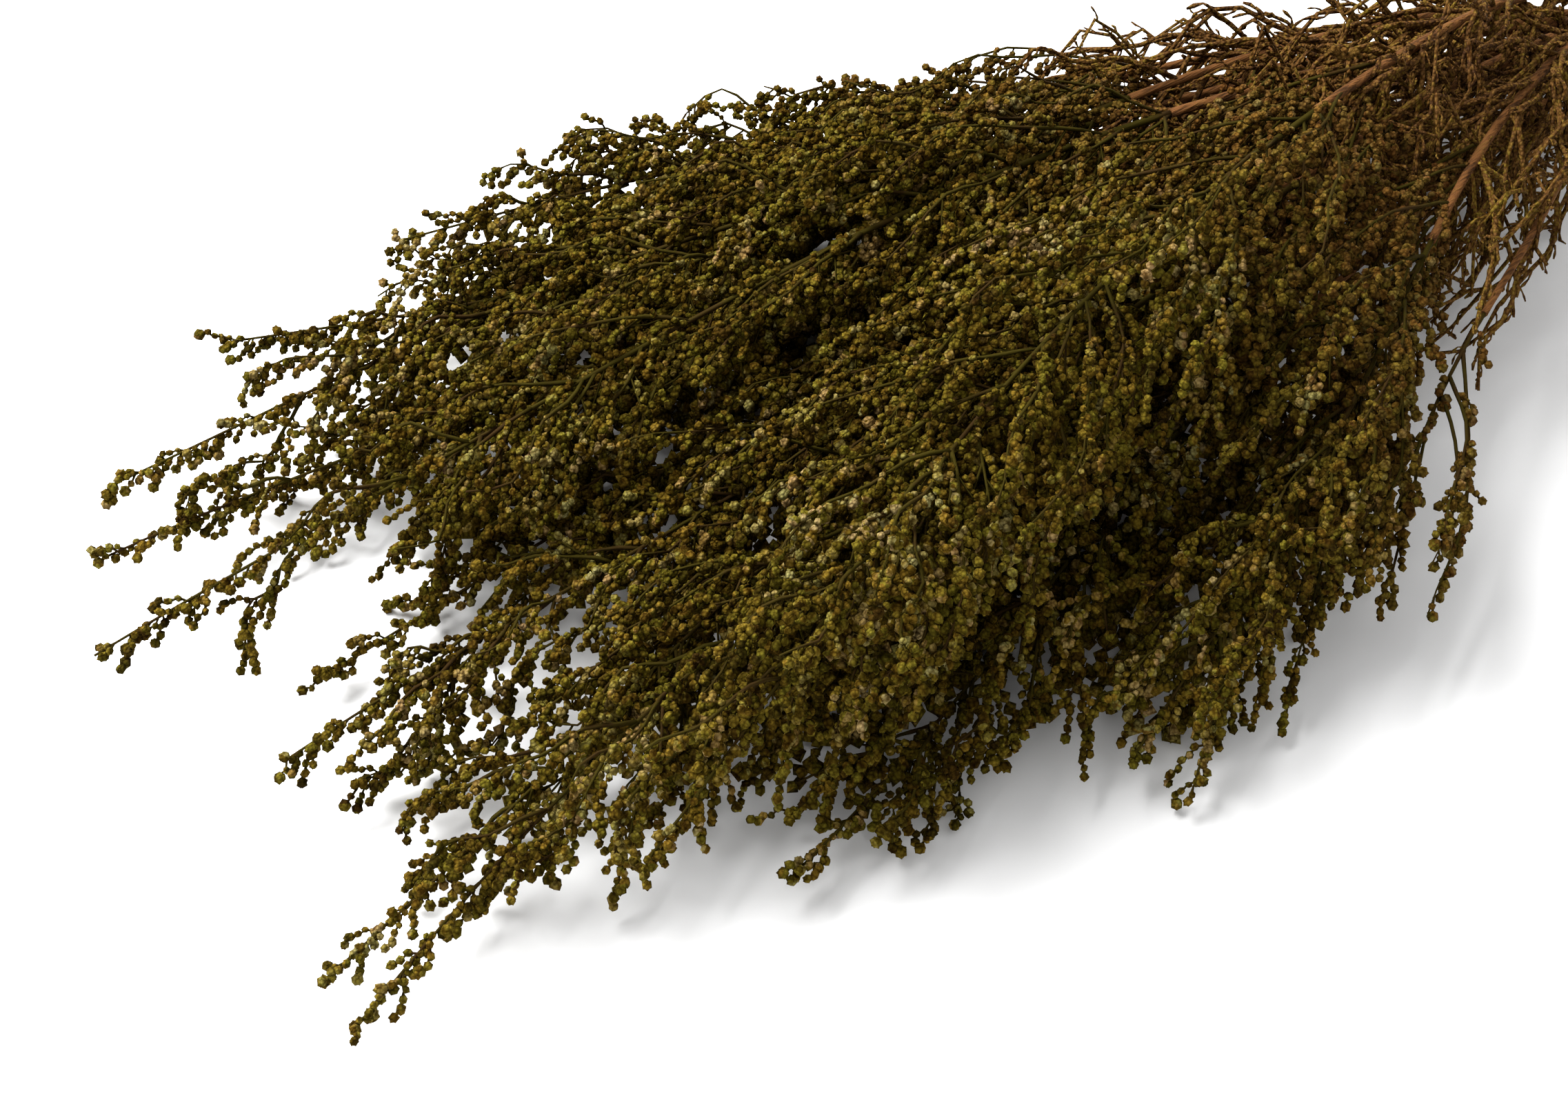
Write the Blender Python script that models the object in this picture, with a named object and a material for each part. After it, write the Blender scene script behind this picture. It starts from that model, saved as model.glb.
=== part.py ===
"""A gathered bunch of preserved stoebe, lying on a table.

Fifteen cut stems leave a rubber band side by side and fan out towards -X. Each is brown and woody
near the band, with bare twigs, and olive further out, where its shoots are strings of small knobs.
A stem is described from the band: its place there, the way it leaves, how far it reaches and how
high it is carried. Twigs and shoots are placed along it by rule, and turned or shortened until they
clear the neighbouring stems. Lengths are in metres.
"""

import math
import random
from collections import namedtuple

import bmesh
import bpy
import numpy as np
from mathutils import Matrix, Vector

# Angles are seen from above, in degrees, and positive to the +Y side.
Stem = namedtuple("Stem", "ring place leaves ends reach crown tip")
STEMS = (
    Stem("outer", 0, 17, 17.2, 0.534, 0.030, 0.036),
    Stem("outer", 1, 19, 14.2, 0.492, 0.042, 0.034),
    Stem("outer", 2, 12, 7.2, 0.545, 0.066, 0.052),
    Stem("outer", 3, -2, -10.6, 0.594, 0.112, 0.050),
    Stem("outer", 4, -12, -19.6, 0.464, 0.083, 0.018),
    Stem("outer", 5, -16, -24.0, 0.378, 0.064, 0.045),
    Stem("outer", 6, -11, -12.4, 0.552, 0.036, 0.011),
    Stem("outer", 7, 1, -1.5, 0.645, 0.043, 0.025),
    Stem("outer", 8, 3, 2.4, 0.620, 0.020, 0.009),
    Stem("outer", 9, 11, 13.4, 0.600, 0.022, 0.040),
    Stem("inner", 0, 11, 10.5, 0.650, 0.049, 0.030),
    Stem("inner", 1, 0, 4.7, 0.675, 0.074, 0.024),
    Stem("inner", 2, -8, -8.0, 0.676, 0.077, 0.011),
    Stem("inner", 3, -3, -5.9, 0.666, 0.059, 0.012),
    Stem("inner", 4, 4, 8.2, 0.660, 0.039, 0.016),
)
CROWN_AT = 0.6  # share of the reach where a stem passes its crown height
GATHERED = 0.10  # run over which the stems spread from their places in the band
WAVE = 0.0055  # sideways wander of a stem at its tip
WAVES = 1.6  # along its reach
WAVE_SHIFT = 2.4  # from one stem to the next, in radians
BUTT_LENGTH = 0.050  # how far the cut ends stand past the band
BUTT_UNEVEN = 0.010
BUTT_SPLAY = 1.5  # how much wider the stems stand at their cut ends
STEM_RADIUS = 0.0023
STEM_TIP_RADIUS = 0.0008
STEM_SIDES = 5
WOOD_LENGTH = 0.280  # how far from the band a stem is brown
WOOD_STEPS = 6
GREEN_STEPS = 6
TIP_FROM = 0.92  # share of the reach where the string of knobs at a stem's end starts
TIP_SUNK = 0.02  # share of the reach over which the stem runs on inside that string

# The band, and the two rings in which the stems lie in it
Ring = namedtuple("Ring", "count first radius")
RINGS = {"outer": Ring(10, 0.0, 0.0088), "inner": Ring(5, 0.25, 0.0042)}
BAND_INSIDE = 0.0115
BAND_OUTSIDE = 0.0130
BAND_GROOVE = 0.0005
BAND_WIDTH = 0.0080
BAND_RIDGES = 3
BAND_SIDES = 16
GAP = 0.0003  # between the brown and the olive part of a stem

# Twigs and shoots. Where one varies, its two numbers are the least and the most.
TWIGS = 3
TWIGS_FROM, TWIGS_TO = 0.30, 0.92  # shares of the wood length
TWIG_LENGTH = 0.075
TWIG_LENGTH_VARIES = 0.7, 1.1
TWIG_OPENING_VARIES = 0.7, 1.1
TWIG_RADIUS = 0.0010
TWIG_DROOP = 0.08  # how far its end hangs down, as a share of its length
TWIG_TURN = 70  # from one stem's first twig to the next stem's, in degrees
SHOOT_SPACING = 0.038
SHOOT_PLACE_VARIES = 0.3, 0.7
FIRST_SHOOT = 0.012  # from where the stem turns olive
FEWEST_SHOOTS = 5
SHOOT_LENGTH = 0.105  # of the first shoot on a stem
LAST_SHOOT_LENGTH = 0.034
SHOOT_LENGTH_VARIES = 0.85, 1.1
SHORTEST = 0.022
SHOOT_RADIUS = 0.0011
SHOOT_DROOP = 0.16
SHOOT_TURN = 40  # from one stem's first shoot to the next stem's, in degrees
OPENING = 34.0  # angle between a shoot and its stem, in degrees
OPENING_VARIES = 0.8, 1.15
BEND = 0.75  # share of the opening that is bent back by the shoot's end
LINE_STEPS = 4
GOLDEN_TURN = 137.5
TURNS_TRIED = 16
SHORTENED = 0.82
ROOM = 0.0008  # kept between pieces of different stems
SAMPLE = 0.003  # spacing of the points at which room is measured

# Knobs: larger than life, so that few of them cover the shoots
KNOB_RADIUS = 0.0040
KNOB_TIP_RADIUS = 0.0024
KNOB_PITCH = 0.0112
KNOB_SIDESTEP = 0.42  # how far a knob stands out from its shoot, as a share of its radius
KNOB_REACH = KNOB_RADIUS * (1 + KNOB_SIDESTEP)
KNOB_TURN = 140  # from one knob to the next, in degrees
FIRST_KNOB_TURN = 50  # from one shoot's first knob to the next shoot's
FEWEST_KNOBS = 2
NECK = 0.34  # between two knobs, as a share of their radius
RING_TURN = 30
TUBE_SIDES = 3

# Each material's colour and roughness
WOOD = (0.16, 0.075, 0.03), 0.8
FOLIAGE = (0.20, 0.16, 0.03), 0.85
RUBBER = (0.55, 0.38, 0.20), 0.6


def smooth_step(x):
    x = min(max(x, 0.0), 1.0)
    return x * x * (3 - 2 * x)


def mixed(first, last, share):
    return first + (last - first) * share


def finish(name, colour, roughness):
    """A plain material of one colour."""
    material = bpy.data.materials.new(name)
    material.use_nodes = True
    shader = material.node_tree.nodes["Principled BSDF"]
    shader.inputs["Base Color"].default_value = (*colour, 1.0)
    shader.inputs["Roughness"].default_value = roughness
    shader.inputs["Metallic"].default_value = 0.0
    return material


def place_in_band(stem):
    """Where a stem lies in the band's opening, from the band's middle: across, and up."""
    ring = RINGS[stem.ring]
    angle = 2 * math.pi * (stem.place + ring.first) / ring.count
    return ring.radius * math.cos(angle), ring.radius * math.sin(angle)


def carried_height(stem, share):
    """Height along a stem: the parabola through the band's middle, the crown and the tip."""
    at_band = (share - CROWN_AT) * (share - 1) / CROWN_AT
    at_crown = share * (share - 1) / (CROWN_AT * (CROWN_AT - 1))
    at_tip = share * (share - CROWN_AT) / (1 - CROWN_AT)
    return BAND_OUTSIDE * at_band + stem.crown * at_crown + stem.tip * at_tip


def stem_point(stem, run):
    """A point of a stem's middle line, this far from the band; a negative run is at the cut end."""
    across, up = place_in_band(stem)
    if run < 0:
        spread = mixed(1.0, BUTT_SPLAY, (run / BUTT_LENGTH) ** 2)
        return Vector((-run, across * spread, BAND_OUTSIDE + up * (spread if up > 0 else 1.0)))
    share = run / stem.reach
    angle = math.radians(mixed(stem.leaves, stem.ends, 1 - (1 - share) ** 2))
    free = smooth_step((run - BAND_WIDTH) / GATHERED)
    phase = WAVE_SHIFT * (stem.place + RINGS[stem.ring].first)
    wander = WAVE * share * math.sin(2 * math.pi * WAVES * share + phase)
    return Vector((
        -run * math.cos(angle * free),
        mixed(across, run * math.sin(angle) + wander, free),
        max(mixed(BAND_OUTSIDE + up, carried_height(stem, share), free), KNOB_RADIUS),
    ))


def stem_radius(stem, run):
    return mixed(STEM_RADIUS, STEM_TIP_RADIUS, max(run, 0.0) / stem.reach)


def side_line(stem, run, around, opening, length, droop):
    """The middle line of a twig or shoot: it leaves the stem, bends along it and hangs a little."""
    root = stem_point(stem, run)
    along = (stem_point(stem, run + SAMPLE) - stem_point(stem, run - SAMPLE)).normalized()
    side = along.cross(Vector((0, 0, 1))).normalized()
    out = side * math.cos(around) + side.cross(along) * math.sin(around)
    leaving = along * math.cos(opening) + out * math.sin(opening)
    points = []
    for step in range(LINE_STEPS + 1):
        share = step / LINE_STEPS
        bent = BEND * share * share / 2
        point = root + length * (leaving * (share - bent) + along * bent)
        point.z -= droop * length * share * share
        lowest = mixed(KNOB_RADIUS, KNOB_TIP_RADIUS, share) * (1 + KNOB_SIDESTEP)
        point.z = max(point.z, min(root.z, lowest))
        points.append(point)
    return points


def sampled(line):
    """Points every few millimetres along a line."""
    found = []
    for start, end in zip(line, line[1:]):
        count = math.ceil((end - start).length / SAMPLE)
        found += [start.lerp(end, step / count) for step in range(count)]
    return np.array(found + [line[-1]])


class Occupied:
    """The lines placed so far, with their half thickness and the node that each belongs to."""

    def __init__(self):
        self.points = np.empty((0, 3))
        self.radii = np.empty(0)
        self.nodes = np.empty(0, int)

    def add(self, line, radius, node):
        points = sampled(line)
        self.points = np.concatenate([self.points, points])
        self.radii = np.append(self.radii, np.full(len(points), radius))
        self.nodes = np.append(self.nodes, np.full(len(points), node))

    def room(self, line, radius, node):
        """The smallest gap between a line of this half thickness and the other nodes."""
        others = self.nodes != node
        apart = sampled(line)[:, None, :] - self.points[others]
        gaps = np.linalg.norm(apart, axis=2) - self.radii[others]
        return float(gaps.min()) - radius


def fitted_line(occupied, node, radius, stem, run, around, opening, length, droop):
    """A side line turned round its stem, then shortened, until it clears the other nodes."""
    while length >= SHORTEST:
        for turn in range(TURNS_TRIED):
            angle = math.radians(around + 360 * turn / TURNS_TRIED)
            line = side_line(stem, run, angle, opening, length, droop)
            if occupied.room(line[1:], radius, node) >= ROOM:
                occupied.add(line, radius, node)
                return line
        length *= SHORTENED
    return None


def wood_runs(stem):
    uneven = random.Random(f"cut {stem.ring} {stem.place}").random()
    cut = -BUTT_LENGTH + BUTT_UNEVEN * uneven
    free = [mixed(BAND_WIDTH, WOOD_LENGTH, step / WOOD_STEPS) for step in range(WOOD_STEPS + 1)]
    return [cut, -BAND_WIDTH, *free]


def green_runs(stem):
    last = stem.reach * (TIP_FROM + TIP_SUNK)
    return [mixed(WOOD_LENGTH + GAP, last, step / GREEN_STEPS) for step in range(GREEN_STEPS + 1)]


def shoot_count(stem):
    return max(FEWEST_SHOOTS, round((stem.reach - WOOD_LENGTH) / SHOOT_SPACING))


def placed_shoot(occupied, index, order):
    """The line of a stem's next shoot, or None where the other stems leave it no room."""
    stem = STEMS[index]
    rng = random.Random(f"shoot {index} {order}")
    share = (order + rng.uniform(*SHOOT_PLACE_VARIES)) / shoot_count(stem)
    run = mixed(WOOD_LENGTH + FIRST_SHOOT, stem.reach * TIP_FROM, share)
    opening = math.radians(OPENING * rng.uniform(*OPENING_VARIES))
    length = mixed(SHOOT_LENGTH, LAST_SHOOT_LENGTH, share) * rng.uniform(*SHOOT_LENGTH_VARIES)
    around = GOLDEN_TURN * order + SHOOT_TURN * index
    return fitted_line(
        occupied, 2 * index + 1, KNOB_REACH, stem, run, around, opening, length, SHOOT_DROOP
    )


def placed_twig(occupied, index, order):
    """The line of a stem's next twig, or None where the other stems leave it no room."""
    rng = random.Random(f"twig {index} {order}")
    run = WOOD_LENGTH * mixed(TWIGS_FROM, TWIGS_TO, (order + rng.random()) / TWIGS)
    opening = math.radians(OPENING * rng.uniform(*TWIG_OPENING_VARIES))
    length = TWIG_LENGTH * rng.uniform(*TWIG_LENGTH_VARIES)
    around = GOLDEN_TURN * order + TWIG_TURN * index
    return fitted_line(
        occupied, 2 * index, TWIG_RADIUS, STEMS[index], run, around, opening, length, TWIG_DROOP
    )


def placed_lines():
    """For each stem, the lines of its twigs and of its shoots; the stems' own lines come first."""
    occupied = Occupied()
    twigs = [[] for _ in STEMS]
    shoots = [[] for _ in STEMS]
    for index, stem in enumerate(STEMS):
        occupied.add([stem_point(stem, run) for run in wood_runs(stem)], STEM_RADIUS, 2 * index)
        occupied.add([stem_point(stem, run) for run in green_runs(stem)], STEM_RADIUS, 2 * index + 1)
    for index, stem in enumerate(STEMS):
        shares = (TIP_FROM, (TIP_FROM + 1) / 2, 1.0)
        shoots[index].append([stem_point(stem, stem.reach * share) for share in shares])
        occupied.add(shoots[index][0], KNOB_REACH, 2 * index + 1)
    for order in range(max(shoot_count(stem) for stem in STEMS)):
        for index, stem in enumerate(STEMS):
            if order < shoot_count(stem):
                shoots[index].append(placed_shoot(occupied, index, order))
    for order in range(TWIGS):
        for index in range(len(STEMS)):
            twigs[index].append(placed_twig(occupied, index, order))
    return [[list(filter(None, lines)) for lines in kind] for kind in (twigs, shoots)]


def ring_frames(points, radii, turn):
    """A frame for each ring of a tube: on the line, square to it and as wide as the tube."""
    frames = []
    across = (points[1] - points[0]).orthogonal()
    for index, (point, radius) in enumerate(zip(points, radii)):
        along = points[min(index + 1, len(points) - 1)] - points[max(index - 1, 0)]
        along.normalize()
        across = (across - along * across.dot(along)).normalized()
        axes = Matrix((across, along.cross(across), along)).transposed().to_4x4()
        roll = Matrix.Rotation(math.radians(turn * index), 4, "Z")
        frames.append(Matrix.Translation(point) @ axes @ roll @ Matrix.Scale(radius, 4))
    return frames


def tube(points, radii, sides, turn=0.0):
    """A closed tube of few sides, drawn out from ring to ring."""
    frames = ring_frames(points, radii, turn)
    shape = bmesh.new()
    bmesh.ops.create_circle(shape, cap_ends=True, segments=sides, radius=1.0, matrix=frames[0])
    end = shape.faces[:][0]
    for index in range(1, len(frames)):
        drawn = bmesh.ops.extrude_face_region(shape, geom=[end])["geom"]
        if index > 1:
            bmesh.ops.delete(shape, geom=[end], context="FACES_ONLY")
        end = next(item for item in drawn if isinstance(item, bmesh.types.BMFace))
        step = frames[index] @ frames[index - 1].inverted()
        bmesh.ops.transform(shape, matrix=step, verts=end.verts[:])
    bmesh.ops.triangulate(shape, faces=shape.faces[:], quad_method="SHORT_EDGE")
    bmesh.ops.recalc_face_normals(shape, faces=shape.faces[:])
    mesh = bpy.data.meshes.new("tube")
    shape.to_mesh(mesh)
    shape.free()
    return bpy.data.objects.new("tube", mesh)


def point_at(line, distance):
    """The point at a distance along a line, and the way that the line runs there."""
    for start, end in zip(line, line[1:]):
        length = (end - start).length
        if distance <= length or end is line[-1]:
            return start.lerp(end, distance / length), (end - start) / length
        distance -= length


def knob_string(line, bare, first_turn):
    """A shoot: bare at its root, then swollen into knobs that step out to all sides in turn."""
    length = sum((end - start).length for start, end in zip(line, line[1:]))
    count = max(FEWEST_KNOBS, round((length - bare) / KNOB_PITCH))
    pitch = (length - bare) / count
    points = [line[0]] if bare else []
    radii = [SHOOT_RADIUS] if bare else []
    for knob in range(count):
        radius = mixed(KNOB_RADIUS, KNOB_TIP_RADIUS, knob / count)
        neck, _ = point_at(line, bare + pitch * knob)
        middle, along = point_at(line, bare + pitch * (knob + 0.5))
        turn = Matrix.Rotation(math.radians(first_turn + KNOB_TURN * knob), 3, along)
        out = turn @ along.orthogonal().normalized()
        points += [neck, middle + out * radius * KNOB_SIDESTEP]
        radii += [radius * NECK, radius]
    return tube(points + [line[-1]], radii + [KNOB_TIP_RADIUS * NECK], TUBE_SIDES, RING_TURN)


def twig(line):
    last = len(line) - 1
    radii = [mixed(TWIG_RADIUS, TWIG_RADIUS / 2, step / last) for step in range(last + 1)]
    return tube(line, radii, TUBE_SIDES)


def stem_tube(stem, runs):
    points = [stem_point(stem, run) for run in runs]
    return tube(points, [stem_radius(stem, run) for run in runs], STEM_SIDES)


def solid(name, mesh, material):
    mesh.name = name
    mesh.materials.clear()
    mesh.materials.append(material)
    result = bpy.data.objects.new(name, mesh)
    bpy.context.scene.collection.objects.link(result)
    return result


def grown_together(name, body, branches, material):
    """One solid of a stem and what grows from it: a union with all of its branches."""
    group = bpy.data.collections.new(name)
    bpy.context.scene.collection.children.link(group)
    for branch in branches:
        group.objects.link(branch)
    bpy.context.scene.collection.objects.link(body)
    union = body.modifiers.new("Branches", "BOOLEAN")
    union.operation = "UNION"
    union.operand_type = "COLLECTION"
    union.collection = group
    union.solver = "MANIFOLD"
    graph = bpy.context.evaluated_depsgraph_get()
    mesh = bpy.data.meshes.new_from_object(body.evaluated_get(graph), depsgraph=graph)
    for helper in [body, *branches]:
        bpy.data.objects.remove(helper)
    bpy.data.collections.remove(group)
    return solid(name, mesh, material)


def rubber_band(material):
    """The band: a ridged ring with one of its flats on the table."""
    half = BAND_WIDTH / 2
    steps = 2 * BAND_RIDGES
    profile = [
        (mixed(-half, half, step / steps), BAND_OUTSIDE - (BAND_GROOVE if step % 2 == 0 else 0.0))
        for step in range(steps + 1)
    ] + [(half, BAND_INSIDE), (-half, BAND_INSIDE)]
    flat = math.cos(math.pi / BAND_SIDES)
    shape = bmesh.new()
    corners = [
        shape.verts.new((x, 0.0, -radius / (flat if radius > BAND_INSIDE else 1.0)))
        for x, radius in profile
    ]
    edges = [shape.edges.new(pair) for pair in zip(corners, corners[1:] + corners[:1])]
    turn = Matrix.Rotation(math.pi / BAND_SIDES, 3, "X")
    bmesh.ops.rotate(shape, verts=corners, matrix=turn)
    bmesh.ops.spin(
        shape, geom=corners + edges, axis=(1, 0, 0), angle=2 * math.pi, steps=BAND_SIDES,
        use_merge=True,
    )
    bmesh.ops.triangulate(shape, faces=shape.faces[:])
    bmesh.ops.recalc_face_normals(shape, faces=shape.faces[:])
    bmesh.ops.translate(shape, verts=shape.verts[:], vec=(0, 0, BAND_OUTSIDE))
    mesh = bpy.data.meshes.new("band")
    shape.to_mesh(mesh)
    shape.free()
    return solid("tie_band", mesh, material)


def settle(parts):
    """Stand the whole on z = 0 with the middle of its bounding box over the origin."""
    corners = np.array([Vector(corner) for part in parts for corner in part.bound_box])
    low, high = corners.min(axis=0), corners.max(axis=0)
    move = Matrix.Translation((-(low[0] + high[0]) / 2, -(low[1] + high[1]) / 2, -low[2]))
    for part in parts:
        part.data.transform(move)


def main():
    for stale in list(bpy.data.objects):
        bpy.data.objects.remove(stale)
    wood = finish("wood", *WOOD)
    foliage = finish("foliage", *FOLIAGE)
    rubber = finish("rubber", *RUBBER)
    twigs, shoots = placed_lines()
    parts = [rubber_band(rubber)]
    for index, stem in enumerate(STEMS):
        number = f"{index + 1:02d}"
        branches = [twig(line) for line in twigs[index]]
        body = stem_tube(stem, wood_runs(stem))
        parts.append(grown_together(f"woody_stem_{number}", body, branches, wood))
        branches = [
            knob_string(line, KNOB_PITCH if order else 0.0, FIRST_KNOB_TURN * order)
            for order, line in enumerate(shoots[index])
        ]
        body = stem_tube(stem, green_runs(stem))
        parts.append(grown_together(f"green_shoots_{number}", body, branches, foliage))
    settle(parts)


main()
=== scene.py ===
"""The looks of a gathered bunch of preserved stoebe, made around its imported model.

Each stem keeps the line that it has in the model. Its woody part gets bark, a pale cut end, fine
twigs and scaly spurs. Its olive part gets side shoots that carry sprigs: thin zigzag stalks
beaded with woolly knobs. Sprigs are modelled once in a few shapes and grown along every shoot by
a seeded rule. Lengths are in metres, and lines are laid out from the middle of the band.
"""

import math
import random
from collections import namedtuple

import bmesh
import bpy
import numpy as np
from bpy.props import FloatProperty, FloatVectorProperty, IntProperty, PointerProperty
from bpy.types import Operator, Panel, PropertyGroup
from mathutils import Matrix, Vector


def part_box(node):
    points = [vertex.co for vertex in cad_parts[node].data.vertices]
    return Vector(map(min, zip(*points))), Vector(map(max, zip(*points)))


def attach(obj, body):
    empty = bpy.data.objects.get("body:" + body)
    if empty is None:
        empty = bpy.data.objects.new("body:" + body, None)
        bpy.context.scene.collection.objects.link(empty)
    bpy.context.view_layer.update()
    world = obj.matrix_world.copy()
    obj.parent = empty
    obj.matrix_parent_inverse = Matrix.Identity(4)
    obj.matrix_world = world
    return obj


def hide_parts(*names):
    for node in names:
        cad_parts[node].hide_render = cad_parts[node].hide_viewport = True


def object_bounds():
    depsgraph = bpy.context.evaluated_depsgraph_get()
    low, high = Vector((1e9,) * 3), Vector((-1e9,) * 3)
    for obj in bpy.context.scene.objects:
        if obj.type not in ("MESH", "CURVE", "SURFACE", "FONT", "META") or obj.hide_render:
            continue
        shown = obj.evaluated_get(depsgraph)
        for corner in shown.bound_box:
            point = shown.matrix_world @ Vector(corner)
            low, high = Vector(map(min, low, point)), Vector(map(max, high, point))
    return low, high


bl_info = {
    "name": "Preserved stoebe bunch",
    "version": (1, 0, 0),
    "blender": (4, 5, 0),
    "location": "3D View > Sidebar > Stoebe",
    "description": "A lying bunch of preserved stoebe with bark, shoots and woolly knobs",
    "category": "Add Mesh",
}

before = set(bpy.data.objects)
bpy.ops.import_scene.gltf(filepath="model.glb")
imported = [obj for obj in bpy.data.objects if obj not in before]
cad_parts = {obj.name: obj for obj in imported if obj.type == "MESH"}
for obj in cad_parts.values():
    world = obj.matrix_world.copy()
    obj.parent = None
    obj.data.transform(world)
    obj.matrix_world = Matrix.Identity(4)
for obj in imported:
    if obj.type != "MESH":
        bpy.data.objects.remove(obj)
MODEL_LOW, MODEL_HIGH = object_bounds()

# The layout of the model: angles are seen from above, in degrees, and positive to the +Y side
Stem = namedtuple("Stem", "ring place leaves ends reach crown tip")
STEMS = (
    Stem("outer", 0, 17, 17.2, 0.534, 0.030, 0.036),
    Stem("outer", 1, 19, 14.2, 0.492, 0.042, 0.034),
    Stem("outer", 2, 12, 7.2, 0.545, 0.066, 0.052),
    Stem("outer", 3, -2, -10.6, 0.594, 0.112, 0.050),
    Stem("outer", 4, -12, -19.6, 0.464, 0.083, 0.018),
    Stem("outer", 5, -16, -24.0, 0.378, 0.064, 0.045),
    Stem("outer", 6, -11, -12.4, 0.552, 0.036, 0.011),
    Stem("outer", 7, 1, -1.5, 0.645, 0.043, 0.025),
    Stem("outer", 8, 3, 2.4, 0.620, 0.020, 0.009),
    Stem("outer", 9, 11, 13.4, 0.600, 0.022, 0.040),
    Stem("inner", 0, 11, 10.5, 0.650, 0.049, 0.030),
    Stem("inner", 1, 0, 4.7, 0.675, 0.074, 0.024),
    Stem("inner", 2, -8, -8.0, 0.676, 0.077, 0.011),
    Stem("inner", 3, -3, -5.9, 0.666, 0.059, 0.012),
    Stem("inner", 4, 4, 8.2, 0.660, 0.039, 0.016),
)
CROWN_AT = 0.6  # share of the reach where a stem passes its crown height
GATHERED = 0.10
WAVE = 0.0055
WAVES = 1.6
WAVE_SHIFT = 2.4
BUTT_LENGTH = 0.050
BUTT_UNEVEN = 0.010
BUTT_SPLAY = 1.5
STEM_RADIUS = 0.0023
STEM_TIP_RADIUS = 0.0008
WOOD_LENGTH = 0.280
WOOD_STEPS = 6
GREEN_STEPS = 6
TIP_FROM = 0.92
TIP_SUNK = 0.02
Ring = namedtuple("Ring", "count first radius")
RINGS = {"outer": Ring(10, 0.0, 0.0088), "inner": Ring(5, 0.25, 0.0042)}
BAND_INSIDE = 0.0115
BAND_OUTSIDE = 0.0130
BAND_WIDTH = 0.0080
GAP = 0.0003
TWIGS = 3
TWIGS_FROM, TWIGS_TO = 0.30, 0.92
TWIG_LENGTH = 0.075
TWIG_LENGTH_VARIES = 0.7, 1.1
TWIG_OPENING_VARIES = 0.7, 1.1
TWIG_RADIUS = 0.0010
TWIG_DROOP = 0.08
TWIG_TURN = 70
SHOOT_SPACING = 0.038
SHOOT_PLACE_VARIES = 0.3, 0.7
FIRST_SHOOT = 0.012
FEWEST_SHOOTS = 5
SHOOT_LENGTH = 0.105
LAST_SHOOT_LENGTH = 0.034
SHOOT_LENGTH_VARIES = 0.85, 1.1
SHORTEST = 0.022
SHOOT_RADIUS = 0.0011
SHOOT_DROOP = 0.16
SHOOT_TURN = 40
OPENING = 34.0
OPENING_VARIES = 0.8, 1.15
BEND = 0.75
LINE_STEPS = 4
GOLDEN_TURN = 137.5
TURNS_TRIED = 16
SHORTENED = 0.82
ROOM = 0.0008
SAMPLE = 0.003
KNOB_RADIUS = 0.0040
KNOB_TIP_RADIUS = 0.0024
KNOB_SIDESTEP = 0.42
KNOB_REACH = KNOB_RADIUS * (1 + KNOB_SIDESTEP)

BAND_LOW, BAND_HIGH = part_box("tie_band")
BAND_MIDDLE = (BAND_LOW + BAND_HIGH) / 2
TO_MODEL = Matrix.Translation(BAND_MIDDLE - Vector((0, 0, BAND_OUTSIDE)))
LOW = TO_MODEL.inverted() @ MODEL_LOW
HIGH = TO_MODEL.inverted() @ MODEL_HIGH

# Fineness
STEM_SIDES = 8
STEM_STEP = 0.006
SHOOT_SIDES = 5
FINE_STEPS = 9
TWIG_SIDES = 4
STALK_SIDES = 3
SHAPES = 3  # different knobs of each kind, and different sprigs of each length in a grade
SPURS = 8  # different spurs

# Knobs: how far their points reach, and what varies from one to the next, as shares of the radius
VALLEY_REACH = 0.80, 0.90
LOBE_REACH = 0.92, 1.08
PLAIN_REACH = 0.88, 1.10
ROUGH_RADIUS = 1.1
ROUGH_REACH = 0.85, 1.15
KNOB_VARIES = 0.85, 1.15
KNOB_STRETCH = 1.0, 1.25  # along the stalk
KNOB_ASIDE = 0.3

# Sprigs and spurs, with angles in degrees, and bends in radians
FEWEST_KNOBS = 2
MOST_KNOBS = 10
ZIGZAG = 0.35, 0.6  # how far the stalk leans at each knob, while it goes 1 along
ZIGZAG_TURN = 120, 220
PITCH_VARIES = 0.85, 1.1
SPRIG_BEND = 0.2, 0.75
SPRIG_VARIES = 0.9, 1.12
SPUR_RINGS = 4
SPUR_BEND = 0.3, 1.8
SPUR_WANDER = -0.3, 0.3
SPUR_SCALE = 0.9, 1.3  # width over a scale, to that of the whole spur
SPUR_VALLEY = 0.6
SPUR_TURN = 50

# Grades of sprigs, from those in the open to those deep inside the bunch
COVER_REACH = 0.034  # within this reach other sprigs can cover one
COVER_CONE = 0.85  # cosine of the half angle in which they cover it from one side
COVER_SIDES = 8  # sides from which a sprig may be seen, besides from above
COVER_RISE = 25.0  # how high above the floor those sides are, in degrees
TIPS_OPEN = 6.0  # by how many sprigs the cover is taken to be less where only tips are left
OUTER_SHARE = 0.25  # of the sprigs, the least covered ones, whose end knobs are fine
INNER_SHARE = 0.55  # of the sprigs, the most covered ones, whose knobs are rough and swollen
CORE_SHARE = 0.28  # of the sprigs, the innermost, whose knobs are the most swollen
SWOLLEN = 1.35
MOST_SWOLLEN = 1.8
END_KNOBS = 1  # of a sprig, the knobs that are finer where the sprig is open
SLENDER, FULL = 2, 1  # how late along a plain and a swollen sprig its knobs grow to full size

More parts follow.
